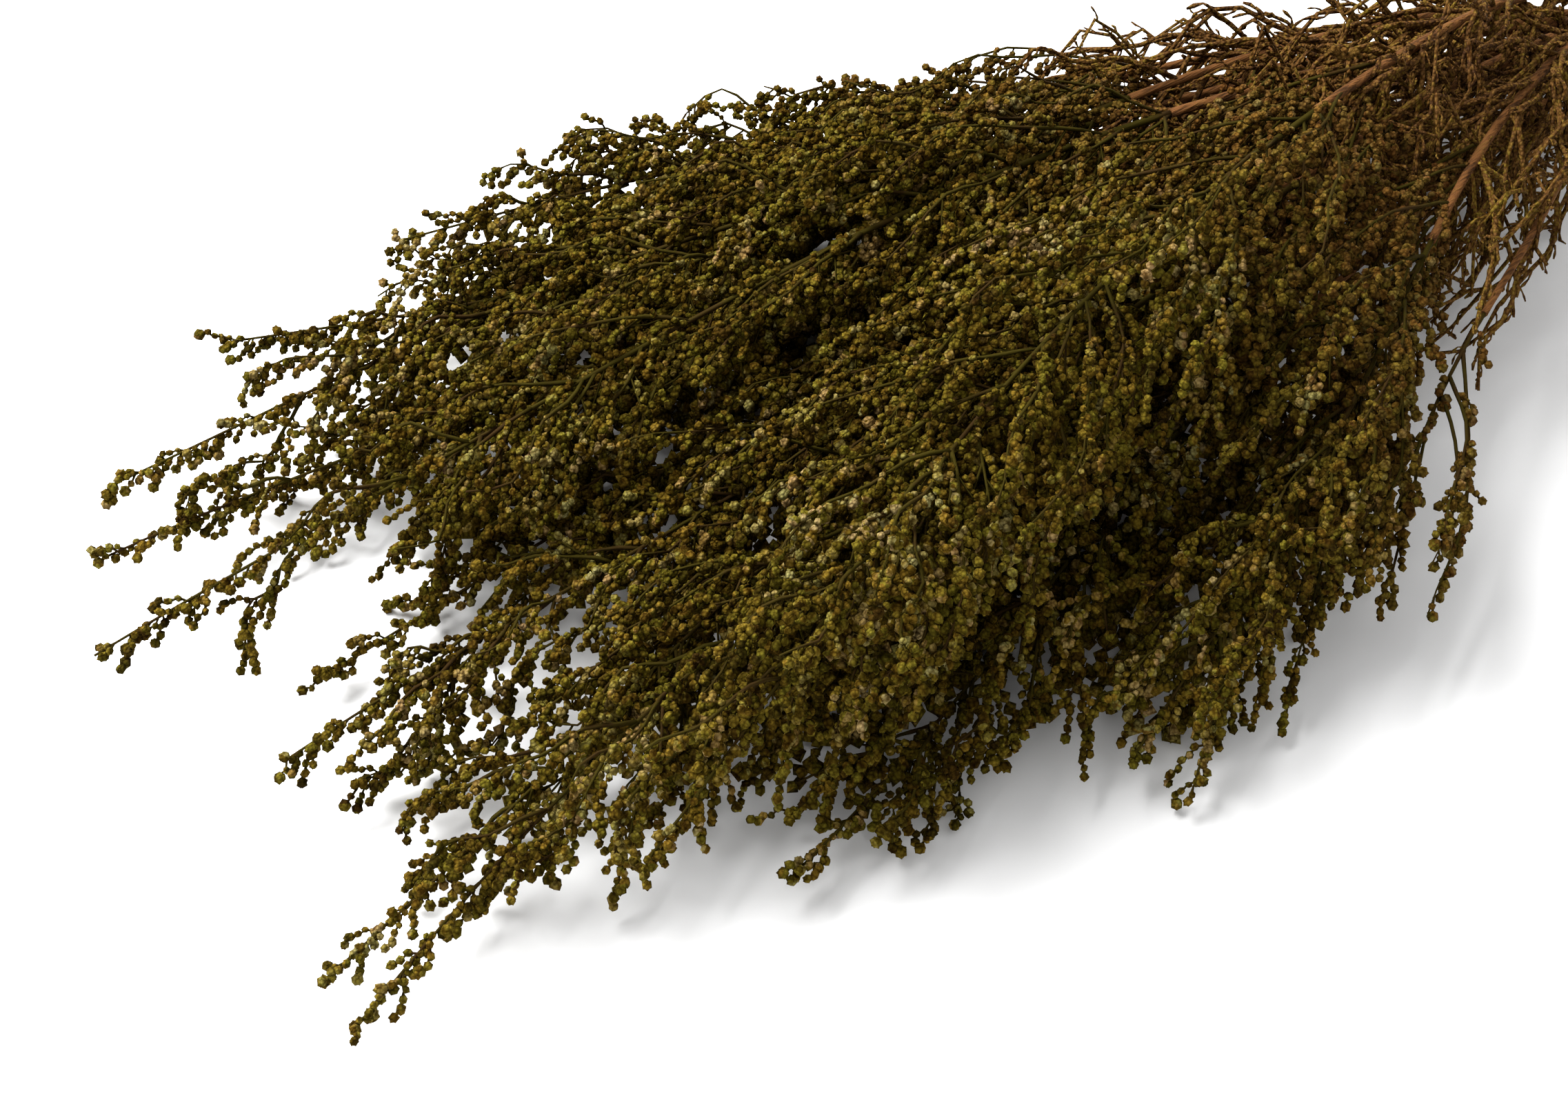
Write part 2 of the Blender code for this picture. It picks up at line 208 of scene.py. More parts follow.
# How sprigs and spurs grow along a line: the first one's distance from its start, the longest length
# there and the shortest at its end, in metres, and how far they open from the line, in degrees
Growth = namedtuple("Growth", "spacing first longest shortest opening")
STEM_SPRIG_SPACING = 0.008
LAST_STEM_SPRIG = 0.012
STEM_SPRIG_OPENING = 50
STEM_TUFTS = Growth(0.007, 0.0, 0.007, 0.007, 60)
TIP_BEADS = Growth(0.005, 0.0, 0.008, 0.008, 22)
FIRST_SPRIG = 0.006
SPRIG_OPENING = 48
SHOOT_BEADS = Growth(0.006, 0.0, 0.0075, 0.0075, 22)
BEADED_TIP = 12  # last rings of a stem that have beads
BEADED_FROM = 0.3  # share of a shoot from where it has beads
END_SPRIG = 0.014
STEM_SPUR_SPACING = 0.005
FIRST_STEM_SPUR = 0.04  # from the band
LAST_STEM_SPUR = 0.5  # share of the spurs' length
STEM_SPUR_OPENING = 40
FIRST_TWIG_SPUR = 0.012
LONGEST_TWIG_SPUR, LAST_TWIG_SPUR = 1.2, 0.6  # shares of the spurs' length
TWIG_SPUR_OPENING = 42
SPACING_VARIES = 0.75, 1.25
TURN_VARIES = -20, 20
LEAN_VARIES = 0.8, 1.2
LENGTH_VARIES = 0.6, 1.2
LENGTH_FALLS = 1.5  # how late along a line its sprigs get shorter
SHORT_ABOVE = 0.85  # length of what grows upwards, as a share of what hangs
SWAY = Vector((0.0, -0.20, -0.30))  # where free sprigs hang: down, and towards the near side
END_SWAY = 2  # how much more of it their ends have
DOWN = Vector((0.0, 0.0, -1.0))
HANGS_FROM, HANGS_ALL = 0.008, 0.030  # heights from which they start to, and where they do so in full

# How thick stems, twigs and shoots are, as shares of their radius in the model, and how they wander
STEM_VARIES = 0.9, 1.06
GREEN_THINS = 1.0, 0.5  # at the band and at the tip
TWIG_THINS = 1.2, 0.6  # at the root and at the end, as for shoots
TWIG_VARIES = 0.85, 1.25
SHOOT_THINS = 0.62, 0.3
SHOOT_VARIES = 0.75, 1.25
WANDER = 0.0035  # how far shoots and the model's twigs stray from a plain bend
TWIG_WANDER = 0.012  # how far extra twigs do
WANDER_WAVES = 0.8, 2.2

# Where sprigs, extra shoots and extra twigs may end, in plan and in height
EDGE_ROOM = 0.0040  # kept to the sides of the model's box, and to the floor
AMONG_RADIUS = 0.030  # within this reach the points of the lines are counted
BODY_REACH, TIPS_REACH = 0.47, 0.60  # from the band: where the mass ends, and where only tips are left
SPRIGS_AMONG = 14, 22  # how many points let sprigs end there, in the mass and among the tips
SHOOTS_AMONG = 22, 44
TWIGS_AMONG = 27, 27
SPRIG_MARGIN = 0.014  # how close to the lines sprigs may end without that many points
SHORTENED_SPRIG = 0.55  # how long a sprig is that would end elsewhere otherwise
ROOF_SLOPE = 0.7  # how steeply the roof falls from each point of the lines
ROOF_MARGIN = 0.013  # how far over the roof sprigs and shoots may end
TWIG_MARGIN = 0.002  # the same for twigs
HOLLOW_MARGIN = 0.024  # the same in a hollow
HOLLOW_REACH = 0.019  # this close to a hollow all may end, because it would stay empty otherwise
HOLLOWS = [Vector(place) for place in (
    (-0.585, -0.040), (-0.618, -0.036), (-0.569, -0.043), (-0.529, -0.100), (-0.563, -0.090),
    (-0.507, -0.116), (-0.483, -0.118), (-0.445, -0.134), (-0.582, -0.090), (-0.550, 0.014),
    (-0.424, 0.152), (-0.445, 0.146), (-0.506, 0.144), (-0.512, -0.091), (-0.420, -0.154),
)]
CLEARINGS = Vector((-0.278, -0.117)), Vector((-0.305, -0.140))
CLEARING_REACH = 0.022  # shoots and twigs end this far from a clearing, and sprigs their margin less
BARE = 5  # the stem that has no extra shoots, and few sprigs
BARE_SPACING = 2.8  # how many times further apart its sprigs are
LEAFY = [stem for stem in STEMS if stem is not STEMS[BARE]]

# Extra shoots and extra twigs, with openings in degrees
FILL_TRIES = 30  # those that each one is chosen from
FLATTENED = (1.0, 1.0, 0.45)  # how much a distance along each axis counts in a search for space
FIRST_EXTRA_TWIG = 0.045
EXTRA_TWIG_OPENING = 12, 44
EXTRA_TWIG_LENGTH = 0.06, 0.13
EXTRA_TWIG_DROOP = 0.0, 0.4
EXTRA_FROM = 0.78  # share of the wood length where extra shoots start
EXTRA_OPENING = 24, 60
EXTRA_LENGTH = 0.110
LAST_EXTRA_LENGTH = 0.045
EXTRA_LENGTH_VARIES = 0.7, 1.15

# The rubber band: one strand wound in turns side by side
BAND_TURNS = 4
TURN_STEPS = 40
BAND_FLAT = 0.7

# Places in the list of materials of a woody piece, and of an olive one
SPUR_LOOK, BARK_LOOK, CUT_LOOK = 0, 1, 2
STALK_LOOK, KNOB_LOOK = 0, 1

# Finishes: sizes and depths in metres, noise scales in waves per metre, tones from 0 to 1
WHITE = 1.0, 1.0, 1.0
SPECULAR = 0.02
KNOB_ROUGHNESS, STALK_ROUGHNESS, BARK_ROUGHNESS, SPUR_ROUGHNESS = 0.92, 0.75, 0.7, 0.85
CUT_ROUGHNESS, RUBBER_ROUGHNESS, FLOOR_ROUGHNESS = 0.8, 0.55, 0.9
KNOB_CELL = 0.0042  # wide enough that a knob mostly shares its colour with its neighbour
KNOB_GRAIN = 0.0014
KNOB_DEPTH = 0.0012
CLUMP_SCALE, SPECK_SCALE, CAST_SCALE = 24.0, 700.0, 60.0
EACH_COUNTS, CLUMP_COUNTS, SPECK_COUNTS = 0.42, 0.62, 0.16  # in the tone of a knob
KNOB_TONES = 0.30, 0.52, 0.72, 0.90  # where it is shaded, olive, yellow and dusty
CELL_CAST_COUNTS, PATCH_CAST_COUNTS = 0.55, 0.45
CASTS = 0.25, 0.75  # where the cast is green and where it is red
GREEN_CAST = 0.82, 0.97, 0.80  # what the colour of the greenest knobs is multiplied by
RED_CAST = 0.97, 0.83, 0.78
BROWN_FROM = 0.230  # from the band, where knobs are as brown as spurs
BROWN_UNTIL = 0.380  # from the band, where the last of that brown ends
PIT_SHADE_TONES = 0.30, 0.85  # distances in the grain between which it darkens to its pits, as painted shade
# The next two colours darken the pits between knob grains and between spur scales: painted shade.
KNOB_PIT_SHADE = 0.28, 0.23, 0.16
SPUR_PIT_SHADE = 0.35, 0.28, 0.18
STALK_STREAKS = 60.0, 900.0, 900.0  # along each axis
STALK_PATCH_SCALE = 45.0
PATCH_COUNTS, STREAK_COUNTS = 0.7, 0.3
STALK_TONES = 0.40, 0.54  # where a stalk is brown and green
STALK_DEPTH = 0.0002
BARK_STREAKS = 90.0, 1100.0, 1100.0  # along each axis
BARK_PATCH_SCALE = 70.0
BARK_STREAK_COUNTS, BARK_PATCH_COUNTS = 0.55, 0.45
BARK_TONES = 0.40, 0.52, 0.66  # where bark is old, plain and rubbed
BARK_DEPTH = 0.0012
SPUR_GRAIN = 0.0013
SPUR_PATCH_SCALE = 22.0
SPUR_EACH_COUNTS, SPUR_PATCH_COUNTS = 0.35, 0.65
SPUR_TONES = 0.28, 0.50, 0.82  # where a spur is dark, brown and olive
SPUR_DEPTH = 0.0010
FIBRE_SCALE = 1800.0
FIBRE_TONES = 0.35, 0.60
RUBBER_SCALE = 300.0
RUBBER_DARK = 0.7
RUBBER_TONES = 0.3, 0.7
RUBBER_DEPTH = 0.0001
COARSE, FINE, FINEST = 2.0, 3.0, 4.0  # detail of a noise

# The stage, from the floor under the middle of the band
KEY_PLACE = Vector((-0.865, 0.88, 1.35))
KEY_AIM = Vector((-0.395, 0.0, 0.05))
CAMERA_PLACE = Vector((-0.740, -0.3906, 0.5489))
CAMERA_AIM = Vector((-0.494, -0.052, 0.05))


def length(name, description, default):
    return FloatProperty(name=name, description=description, default=default, unit="LENGTH")


class StoebeSizes(PropertyGroup):
    """Sizes of what grows on the stems."""

    knob_radius: length("Knob radius", "Radius of the knob at the end of a sprig", 0.0017)
    small_knob_radius: length("Small knob radius", "Radius of the first knob of a sprig", 0.0012)
    knob_pitch: length("Knob pitch", "Distance from knob to knob along a sprig", 0.0028)
    sprig_spacing: length("Sprig spacing", "Distance from sprig to sprig along a shoot", 0.0048)
    sprig_length: length("Sprig length", "Length of the longest sprigs of a shoot", 0.0210)
    last_sprig_length: length("Last sprig length", "Length of the sprigs at a shoot's end", 0.0100)
    stalk_radius: length("Stalk radius", "Radius of a sprig's stalk between its knobs", 0.00042)
    extra_shoots: IntProperty(
        name="Extra shoots", description="Shoots besides those of the model",
        default=350, min=0,
    )
    extra_twigs: IntProperty(
        name="Extra twigs", description="Bare twigs besides those of the model",
        default=250, min=0,
    )
    spur_spacing: length("Spur spacing", "Distance from spur to spur along a twig", 0.0065)
    spur_length: length("Spur length", "Length of a scaly brown spur", 0.0110)
    spur_radius: length("Spur radius", "Radius of a spur over its scales", 0.0008)


def colour(name, description, default):
    return FloatVectorProperty(
        name=name, description=description, default=default, subtype="COLOR", min=0.0, max=1.0,
    )


class StoebeColours(PropertyGroup):
    """Colours of the plant and its band."""

    shaded_knob: colour("Shaded knob", "Darkest knobs, brown and olive", (0.034, 0.020, 0.0042))
    olive_knob: colour("Olive knob", "Most of the knobs", (0.089, 0.060, 0.0066))
    yellow_knob: colour("Yellow knob", "Knobs with a yellow cast", (0.184, 0.128, 0.0165))
    dusty_knob: colour("Dusty knob", "Pale, dry knobs", (0.320, 0.242, 0.112))
    green_stalk: colour("Green stalk", "Stems and shoots among the knobs", (0.031, 0.0235, 0.0030))
    brown_stalk: colour("Brown stalk", "Dry stretches of the stalks", (0.027, 0.0145, 0.0040))
    bark: colour("Bark", "Woody stems near the band", (0.150, 0.062, 0.020))
    old_bark: colour("Old bark", "Streaks and scars in the bark", (0.052, 0.024, 0.010))
    spur: colour("Spur", "Scaly brown spurs and twigs", (0.140, 0.068, 0.019))
    cut_wood: colour("Cut wood", "The cut ends of the stems", (0.480, 0.330, 0.170))
    rubber: colour("Rubber", "The band", (0.500, 0.330, 0.170))


class StoebeStage(PropertyGroup):
    """The floor, the light and the camera."""

    floor_size: FloatProperty(
        name="Floor size", description="Side of the square floor", default=8.0, unit="LENGTH",
    )
    floor_colour: colour("Floor", "The pale floor", (0.86, 0.86, 0.86))
    key_power: FloatProperty(
        name="Key power", description="Power of the soft key light", default=78.0, unit="POWER",
    )
    key_size: FloatProperty(
        name="Key size", description="Side of the soft key light", default=1.2, unit="LENGTH",
    )
    sky: FloatProperty(
        name="Sky", description="Strength of the even light from all around", default=0.86,
    )
    lens: FloatProperty(
        name="Lens", description="Focal length in millimetres", default=50.0,
    )


def smooth_step(x):
    x = min(max(x, 0.0), 1.0)
    return x * x * (3 - 2 * x)


def mixed(first, last, share):
    return first + (last - first) * share


def tipwards(point):
    """How far out a point is: 0 in the mass of the bunch, and 1 where only tips are left."""
    return smooth_step((point.xy.length - BODY_REACH) / (TIPS_REACH - BODY_REACH))


# The lines of the model

def place_in_band(stem):
    """Where a stem lies in the band's opening, from the band's middle: across, and up."""
    ring = RINGS[stem.ring]
    angle = 2 * math.pi * (stem.place + ring.first) / ring.count
    return ring.radius * math.cos(angle), ring.radius * math.sin(angle)


def carried_height(stem, share):
    """Height along a stem: the parabola through the band's middle, the crown and the tip."""
    at_band = (share - CROWN_AT) * (share - 1) / CROWN_AT
    at_crown = share * (share - 1) / (CROWN_AT * (CROWN_AT - 1))
    at_tip = share * (share - CROWN_AT) / (1 - CROWN_AT)
    return BAND_OUTSIDE * at_band + stem.crown * at_crown + stem.tip * at_tip


def stem_point(stem, run):
    """A point of a stem's middle line, this far from the band; a negative run is at the cut end."""
    across, up = place_in_band(stem)
    if run < 0:
        spread = mixed(1.0, BUTT_SPLAY, (run / BUTT_LENGTH) ** 2)
        return Vector((-run, across * spread, BAND_OUTSIDE + up * (spread if up > 0 else 1.0)))
    share = run / stem.reach
    angle = math.radians(mixed(stem.leaves, stem.ends, 1 - (1 - share) ** 2))
    free = smooth_step((run - BAND_WIDTH) / GATHERED)
    phase = WAVE_SHIFT * (stem.place + RINGS[stem.ring].first)
    wander = WAVE * share * math.sin(2 * math.pi * WAVES * share + phase)
    return Vector((
        -run * math.cos(angle * free),
        mixed(across, run * math.sin(angle) + wander, free),
        max(mixed(BAND_OUTSIDE + up, carried_height(stem, share), free), KNOB_RADIUS),
    ))


def stem_radius(stem, run):
    return mixed(STEM_RADIUS, STEM_TIP_RADIUS, max(run, 0.0) / stem.reach)


def stem_line(stem, first, last, step):
    """Runs from first to last along a stem, about a step apart."""
    count = math.ceil((last - first) / step)
    return [mixed(first, last, index / count) for index in range(count + 1)]


Branch = namedtuple("Branch", "stem run around opening length droop")


def branch_line(branch, steps):
    """The middle line of a twig or shoot: it leaves the stem, bends along it and hangs a little."""
    stem, run, around, opening, length, droop = branch
    root = stem_point(stem, run)
    along = (stem_point(stem, run + SAMPLE) - stem_point(stem, run - SAMPLE)).normalized()
    side = along.cross(Vector((0, 0, 1))).normalized()
    out = side * math.cos(around) + side.cross(along) * math.sin(around)
    leaving = along * math.cos(opening) + out * math.sin(opening)
    points = []
    for step in range(steps + 1):
        share = step / steps
        bent = BEND * share * share / 2
        point = root + length * (leaving * (share - bent) + along * bent)
        point.z -= droop * length * share * share
        lowest = mixed(KNOB_RADIUS, KNOB_TIP_RADIUS, share) * (1 + KNOB_SIDESTEP)
        point.z = max(point.z, min(root.z, lowest))
        points.append(point)
    return points


def wandering(line, rng, amount):
    """The line with waves across it, both ways, that grow from its root."""
    sides = ((line[-1] - line[0]).orthogonal().normalized(), Vector((0, 0, 1)))
    waves = [(side, rng.uniform(*WANDER_WAVES), rng.uniform(0, 2 * math.pi)) for side in sides]
    found = []
    for step, point in enumerate(line):
        share = step / (len(line) - 1)
        moved = point.copy()
        for side, count, phase in waves:
            moved += side * amount * share * math.sin(2 * math.pi * count * share + phase)
        moved.z = max(moved.z, min(point.z, EDGE_ROOM))
        found.append(moved)
    return found


class Envelope:
    """The space that some lines of the model span: in among them or close to one, and under a roof."""

    def __init__(self, lines, in_mass, at_tips, roof_margin=ROOF_MARGIN):
        self.points = np.array([point for line in lines for point in line])
        self.among = in_mass, at_tips
        self.roof_margin = roof_margin

    def apart(self, point):
        """Distances from a point to those of the lines, in plan and in space."""
        apart = self.points - np.array(point)
        return np.linalg.norm(apart[:, :2], axis=1), np.linalg.norm(apart, axis=1)

    def holds(self, point, margin=0.0):
        """Whether a point is in the model's box and in the space, or this close to the lines."""
        sides = zip(LOW, point, HIGH)
        if not all(low + EDGE_ROOM <= part <= high - EDGE_ROOM for low, part, high in sides):
            return False
        if any((point.xy - clearing).length < CLEARING_REACH - margin for clearing in CLEARINGS):
            return False
        in_plan, in_space = self.apart(point)
        if in_space.min() < margin:
            return True
        roof = (self.points[:, 2] - ROOF_SLOPE * in_plan).max()
        fills = any((point.xy - hollow).length < HOLLOW_REACH for hollow in HOLLOWS)
        fewest = mixed(*self.among, tipwards(point))
        is_among = fills or (in_plan < AMONG_RADIUS).sum() >= fewest
        return is_among and point.z <= roof + (HOLLOW_MARGIN if fills else self.roof_margin)

    def fitted(self, found):
        """Sprouts that end in the space or close to the lines, some of them shortened for that."""
        kept = []
        for sprout in found:
            for share in (1.0, SHORTENED_SPRIG):
                tried = sprout._replace(length=sprout.length * share)
                if self.holds(sprout_end(tried), SPRIG_MARGIN):
                    kept.append(tried)
                    break
        return kept


class Crowd:
    """Points on what has grown so far, asked for the widest space left.

    Heights count less than distances in plan, so that gaps seen from above fill up first.
    """

    def __init__(self, envelope):
        self.envelope = envelope
        self.points = envelope.points * FLATTENED

    def space(self, line):
        """The mean distance from the outer half of a line to the nearest point."""
        outer = np.array(line[len(line) // 2:]) * FLATTENED
        apart = np.linalg.norm(outer[:, None, :] - self.points, axis=2)
        return float(apart.min(axis=1).mean())

    def roomiest(self, tries):
        """Of some branches, the one that grows into the widest space within the envelope."""
        lines = [branch_line(branch, FINE_STEPS) for branch in tries]
        inside = [pair for pair in zip(tries, lines) if self.envelope.holds(pair[1][-1])]
        if not inside:
            return []
        branch, line = max(inside, key=lambda pair: self.space(pair[1]))
        self.points = np.concatenate([self.points, np.array(line) * FLATTENED])
        return [branch]


def sampled(line):
    """Points every few millimetres along a line."""
    found = []
    for start, end in zip(line, line[1:]):
        count = math.ceil((end - start).length / SAMPLE)
        found += [start.lerp(end, step / count) for step in range(count)]
    return np.array(found + [line[-1]])


class Occupied:
    """The lines placed so far, with their half thickness and the node that each belongs to."""

    def __init__(self):
        self.points = np.empty((0, 3))
        self.radii = np.empty(0)
        self.nodes = np.empty(0, int)

    def add(self, line, radius, node):
        points = sampled(line)
        self.points = np.concatenate([self.points, points])
        self.radii = np.append(self.radii, np.full(len(points), radius))
        self.nodes = np.append(self.nodes, np.full(len(points), node))

    def room(self, line, radius, node):
        """The smallest gap between a line of this half thickness and the other nodes."""
        others = self.nodes != node
        apart = sampled(line)[:, None, :] - self.points[others]
        gaps = np.linalg.norm(apart, axis=2) - self.radii[others]
        return float(gaps.min()) - radius


def fitted(occupied, node, radius, branch):
    """A branch turned round its stem, then shortened, until it clears the other nodes."""
    length = branch.length
    while length >= SHORTEST:
        for turn in range(TURNS_TRIED):
            around = math.radians(branch.around + 360 * turn / TURNS_TRIED)
            tried = branch._replace(around=around, length=length)
            line = branch_line(tried, LINE_STEPS)
            if occupied.room(line[1:], radius, node) >= ROOM:
                occupied.add(line, radius, node)
                return tried
        length *= SHORTENED
    return None


def cut_run(stem):
    uneven = random.Random(f"cut {stem.ring} {stem.place}").random()
    return -BUTT_LENGTH + BUTT_UNEVEN * uneven


def wood_runs(stem):
    free = [mixed(BAND_WIDTH, WOOD_LENGTH, step / WOOD_STEPS) for step in range(WOOD_STEPS + 1)]
    return [cut_run(stem), -BAND_WIDTH, *free]


def green_runs(stem):
    last = stem.reach * (TIP_FROM + TIP_SUNK)
    return [mixed(WOOD_LENGTH + GAP, last, step / GREEN_STEPS) for step in range(GREEN_STEPS + 1)]


def shoot_count(stem):
    return max(FEWEST_SHOOTS, round((stem.reach - WOOD_LENGTH) / SHOOT_SPACING))


def model_shoot(occupied, index, order):
    stem = STEMS[index]
    rng = random.Random(f"shoot {index} {order}")
    share = (order + rng.uniform(*SHOOT_PLACE_VARIES)) / shoot_count(stem)
    run = mixed(WOOD_LENGTH + FIRST_SHOOT, stem.reach * TIP_FROM, share)
    opening = math.radians(OPENING * rng.uniform(*OPENING_VARIES))
    length = mixed(SHOOT_LENGTH, LAST_SHOOT_LENGTH, share) * rng.uniform(*SHOOT_LENGTH_VARIES)
    around = GOLDEN_TURN * order + SHOOT_TURN * index
    branch = Branch(stem, run, around, opening, length, SHOOT_DROOP)
    return fitted(occupied, 2 * index + 1, KNOB_REACH, branch)


def model_twig(occupied, index, order):
    rng = random.Random(f"twig {index} {order}")
    run = WOOD_LENGTH * mixed(TWIGS_FROM, TWIGS_TO, (order + rng.random()) / TWIGS)
    opening = math.radians(OPENING * rng.uniform(*TWIG_OPENING_VARIES))
    length = TWIG_LENGTH * rng.uniform(*TWIG_LENGTH_VARIES)
    around = GOLDEN_TURN * order + TWIG_TURN * index
    branch = Branch(STEMS[index], run, around, opening, length, TWIG_DROOP)
    return fitted(occupied, 2 * index, TWIG_RADIUS, branch)


def model_branches():
    """The twigs and the shoots of each stem, as the model has them."""
    occupied = Occupied()
    twigs = [[] for _ in STEMS]
    shoots = [[] for _ in STEMS]
    for index, stem in enumerate(STEMS):
        occupied.add([stem_point(stem, run) for run in wood_runs(stem)], STEM_RADIUS, 2 * index)
        occupied.add([stem_point(stem, run) for run in green_runs(stem)], STEM_RADIUS, 2 * index + 1)
    for index, stem in enumerate(STEMS):
        shares = (TIP_FROM, (TIP_FROM + 1) / 2, 1.0)
        line = [stem_point(stem, stem.reach * share) for share in shares]
        occupied.add(line, KNOB_REACH, 2 * index + 1)
    for order in range(max(shoot_count(stem) for stem in STEMS)):
        for index, stem in enumerate(STEMS):
            if order < shoot_count(stem):
                shoots[index].append(model_shoot(occupied, index, order))
    for order in range(TWIGS):
        for index in range(len(STEMS)):
            twigs[index].append(model_twig(occupied, index, order))
    return [[list(filter(None, grown)) for grown in kind] for kind in (twigs, shoots)]


def extra_twig(rng):
    """A twig anywhere on the brown part of any stem."""
    opening = math.radians(rng.uniform(*EXTRA_TWIG_OPENING))
    return Branch(
        rng.choice(STEMS), mixed(FIRST_EXTRA_TWIG, WOOD_LENGTH, rng.random()), rng.uniform(0, 2 * math.pi),
        opening, rng.uniform(*EXTRA_TWIG_LENGTH), rng.uniform(*EXTRA_TWIG_DROOP),
    )


def extra_shoot(rng):
    """A shoot anywhere on the olive part of any stem; long near the wood, and short at the tip."""
    stem = rng.choice(LEAFY)
    share = rng.random()
    return Branch(
        stem, mixed(WOOD_LENGTH * EXTRA_FROM, stem.reach * TIP_FROM, share), rng.uniform(0, 2 * math.pi),
        math.radians(rng.uniform(*EXTRA_OPENING)),
        mixed(EXTRA_LENGTH, LAST_EXTRA_LENGTH, share) * rng.uniform(*EXTRA_LENGTH_VARIES), SHOOT_DROOP,
    )


def grow_more(branches, envelope, count, extra, rng):
    """Add extra branches one by one, each time the one of some tries that finds the widest space."""
    crowd = Crowd(envelope)
    for _ in range(count):
        for branch in crowd.roomiest([extra(rng) for _ in range(FILL_TRIES)]):
            branches[STEMS.index(branch.stem)].append(branch)


# Shapes

def ring_frames(points, radii, turn, flat):
    """A frame for each ring of a tube: on the line, square to it and as wide as the tube."""
    frames = []
    across = (points[1] - points[0]).orthogonal()
    for index, (point, radius) in enumerate(zip(points, radii)):
        along = points[min(index + 1, len(points) - 1)] - points[max(index - 1, 0)]
        along.normalize()
        across = (across - along * across.dot(along)).normalized()
        axes = Matrix((across, along.cross(across), along)).transposed().to_4x4()
        roll = Matrix.Rotation(math.radians(turn * index), 4, "Z")
        widen = Matrix.Diagonal((radius * flat, radius, radius, 1.0))
        frames.append(Matrix.Translation(point) @ axes @ roll @ widen)
    return frames


def add_tube(shape, points, radii, sides, turn=0.0, flat=1.0, look=0, end_look=None):
    """A closed tube, drawn out from ring to ring and added to a shape."""
    frames = ring_frames(points, radii, turn, flat)
    first = bmesh.ops.create_circle(
        shape, cap_ends=True, segments=sides, radius=1.0, matrix=frames[0],
    )["verts"]
    end = first[0].link_faces[0]
    end.normal_flip()
    end.material_index = look if end_look is None else end_look
    for index in range(1, len(frames)):
        drawn = bmesh.ops.extrude_face_region(shape, geom=[end])["geom"]
        if index > 1:
            bmesh.ops.delete(shape, geom=[end], context="FACES_ONLY")
        end = next(item for item in drawn if isinstance(item, bmesh.types.BMFace))
        step = frames[index] @ frames[index - 1].inverted()
        bmesh.ops.transform(shape, matrix=step, verts=end.verts[:])
        for edge in end.edges:
            for face in edge.link_faces:
                face.material_index = look
                face.smooth = True
    end.smooth = False


def add_branch(shape, line, radius, thins, varies, look, rng):
    """A twig or a shoot: an uneven tube that gets thinner towards its end."""
    first, last = (radius * share for share in thins)
    radii = [mixed(first, last, step / FINE_STEPS) * rng.uniform(*varies) for step in range(FINE_STEPS + 1)]
    add_tube(shape, line, radii, TWIG_SIDES, look=look)


def add_copy(shape, template, place):
    """A copy of a small mesh, put in its place in a shape."""
    copy = template.copy()
    copy.transform(place)
    shape.from_mesh(copy)
    bpy.data.meshes.remove(copy)


def mesh_of(shape, name):
    mesh = bpy.data.meshes.new(name)
    shape.to_mesh(mesh)
    shape.free()
    return mesh


def knob_of(shape, name):
    """The mesh of a knob, smooth and woolly all over."""
    for face in shape.faces:
        face.smooth = True
        face.material_index = KNOB_LOOK
    return mesh_of(shape, name)


def fine_knob(rng):
    """A knob of fourteen lobes: a cube divided once, with its corners and face middles swollen."""
    shape = bmesh.new()
    bmesh.ops.create_cube(shape, size=2.0)
    bmesh.ops.subdivide_edges(shape, edges=shape.edges[:], cuts=1, use_grid_fill=True)
    for vert in shape.verts:
        on_edge = sum(round(abs(part)) for part in vert.co) == 2
        vert.co = vert.co.normalized() * rng.uniform(*(VALLEY_REACH if on_edge else LOBE_REACH))
    bmesh.ops.triangulate(shape, faces=shape.faces[:], quad_method="SHORT_EDGE")
    return knob_of(shape, "fine_knob")


def plain_knob(rng):
    """A small knob: an uneven ball of twenty faces."""
    shape = bmesh.new()
    bmesh.ops.create_icosphere(shape, subdivisions=1, radius=1.0)
    for vert in shape.verts:
        vert.co *= rng.uniform(*PLAIN_REACH)
    return knob_of(shape, "plain_knob")


def rough_knob(rng):
    """A knob of eight faces, for the crowded inside of the bunch."""
    shape = bmesh.new()
    bmesh.ops.create_uvsphere(shape, u_segments=4, v_segments=2, radius=ROUGH_RADIUS)
    for vert in shape.verts:
        vert.co *= rng.uniform(*ROUGH_REACH)
    return knob_of(shape, "rough_knob")


def turned_to(direction, roll=0.0):
    """The turn that brings +Z to a direction."""
    return direction.to_track_quat("Z", "Y").to_matrix().to_4x4() @ Matrix.Rotation(roll, 4, "Z")


def zigzag_points(rng, count, pitch):
    """The root of a sprig and the place of each knob, on a zigzag line that bends towards +Y."""
    zigzag = rng.uniform(*ZIGZAG)
    bend = rng.uniform(*SPRIG_BEND)
    turn = rng.uniform(0, 2 * math.pi)
    points = [Vector()]
    for knob in range(count):
        turn += math.radians(rng.uniform(*ZIGZAG_TURN))
        lean = Vector((zigzag * math.cos(turn), zigzag * math.sin(turn), 1.0)).normalized()
        tilt = Matrix.Rotation(-bend * (knob + 1) / count, 3, "X")
        points.append(points[-1] + tilt @ lean * pitch * rng.uniform(*PITCH_VARIES))
    return points


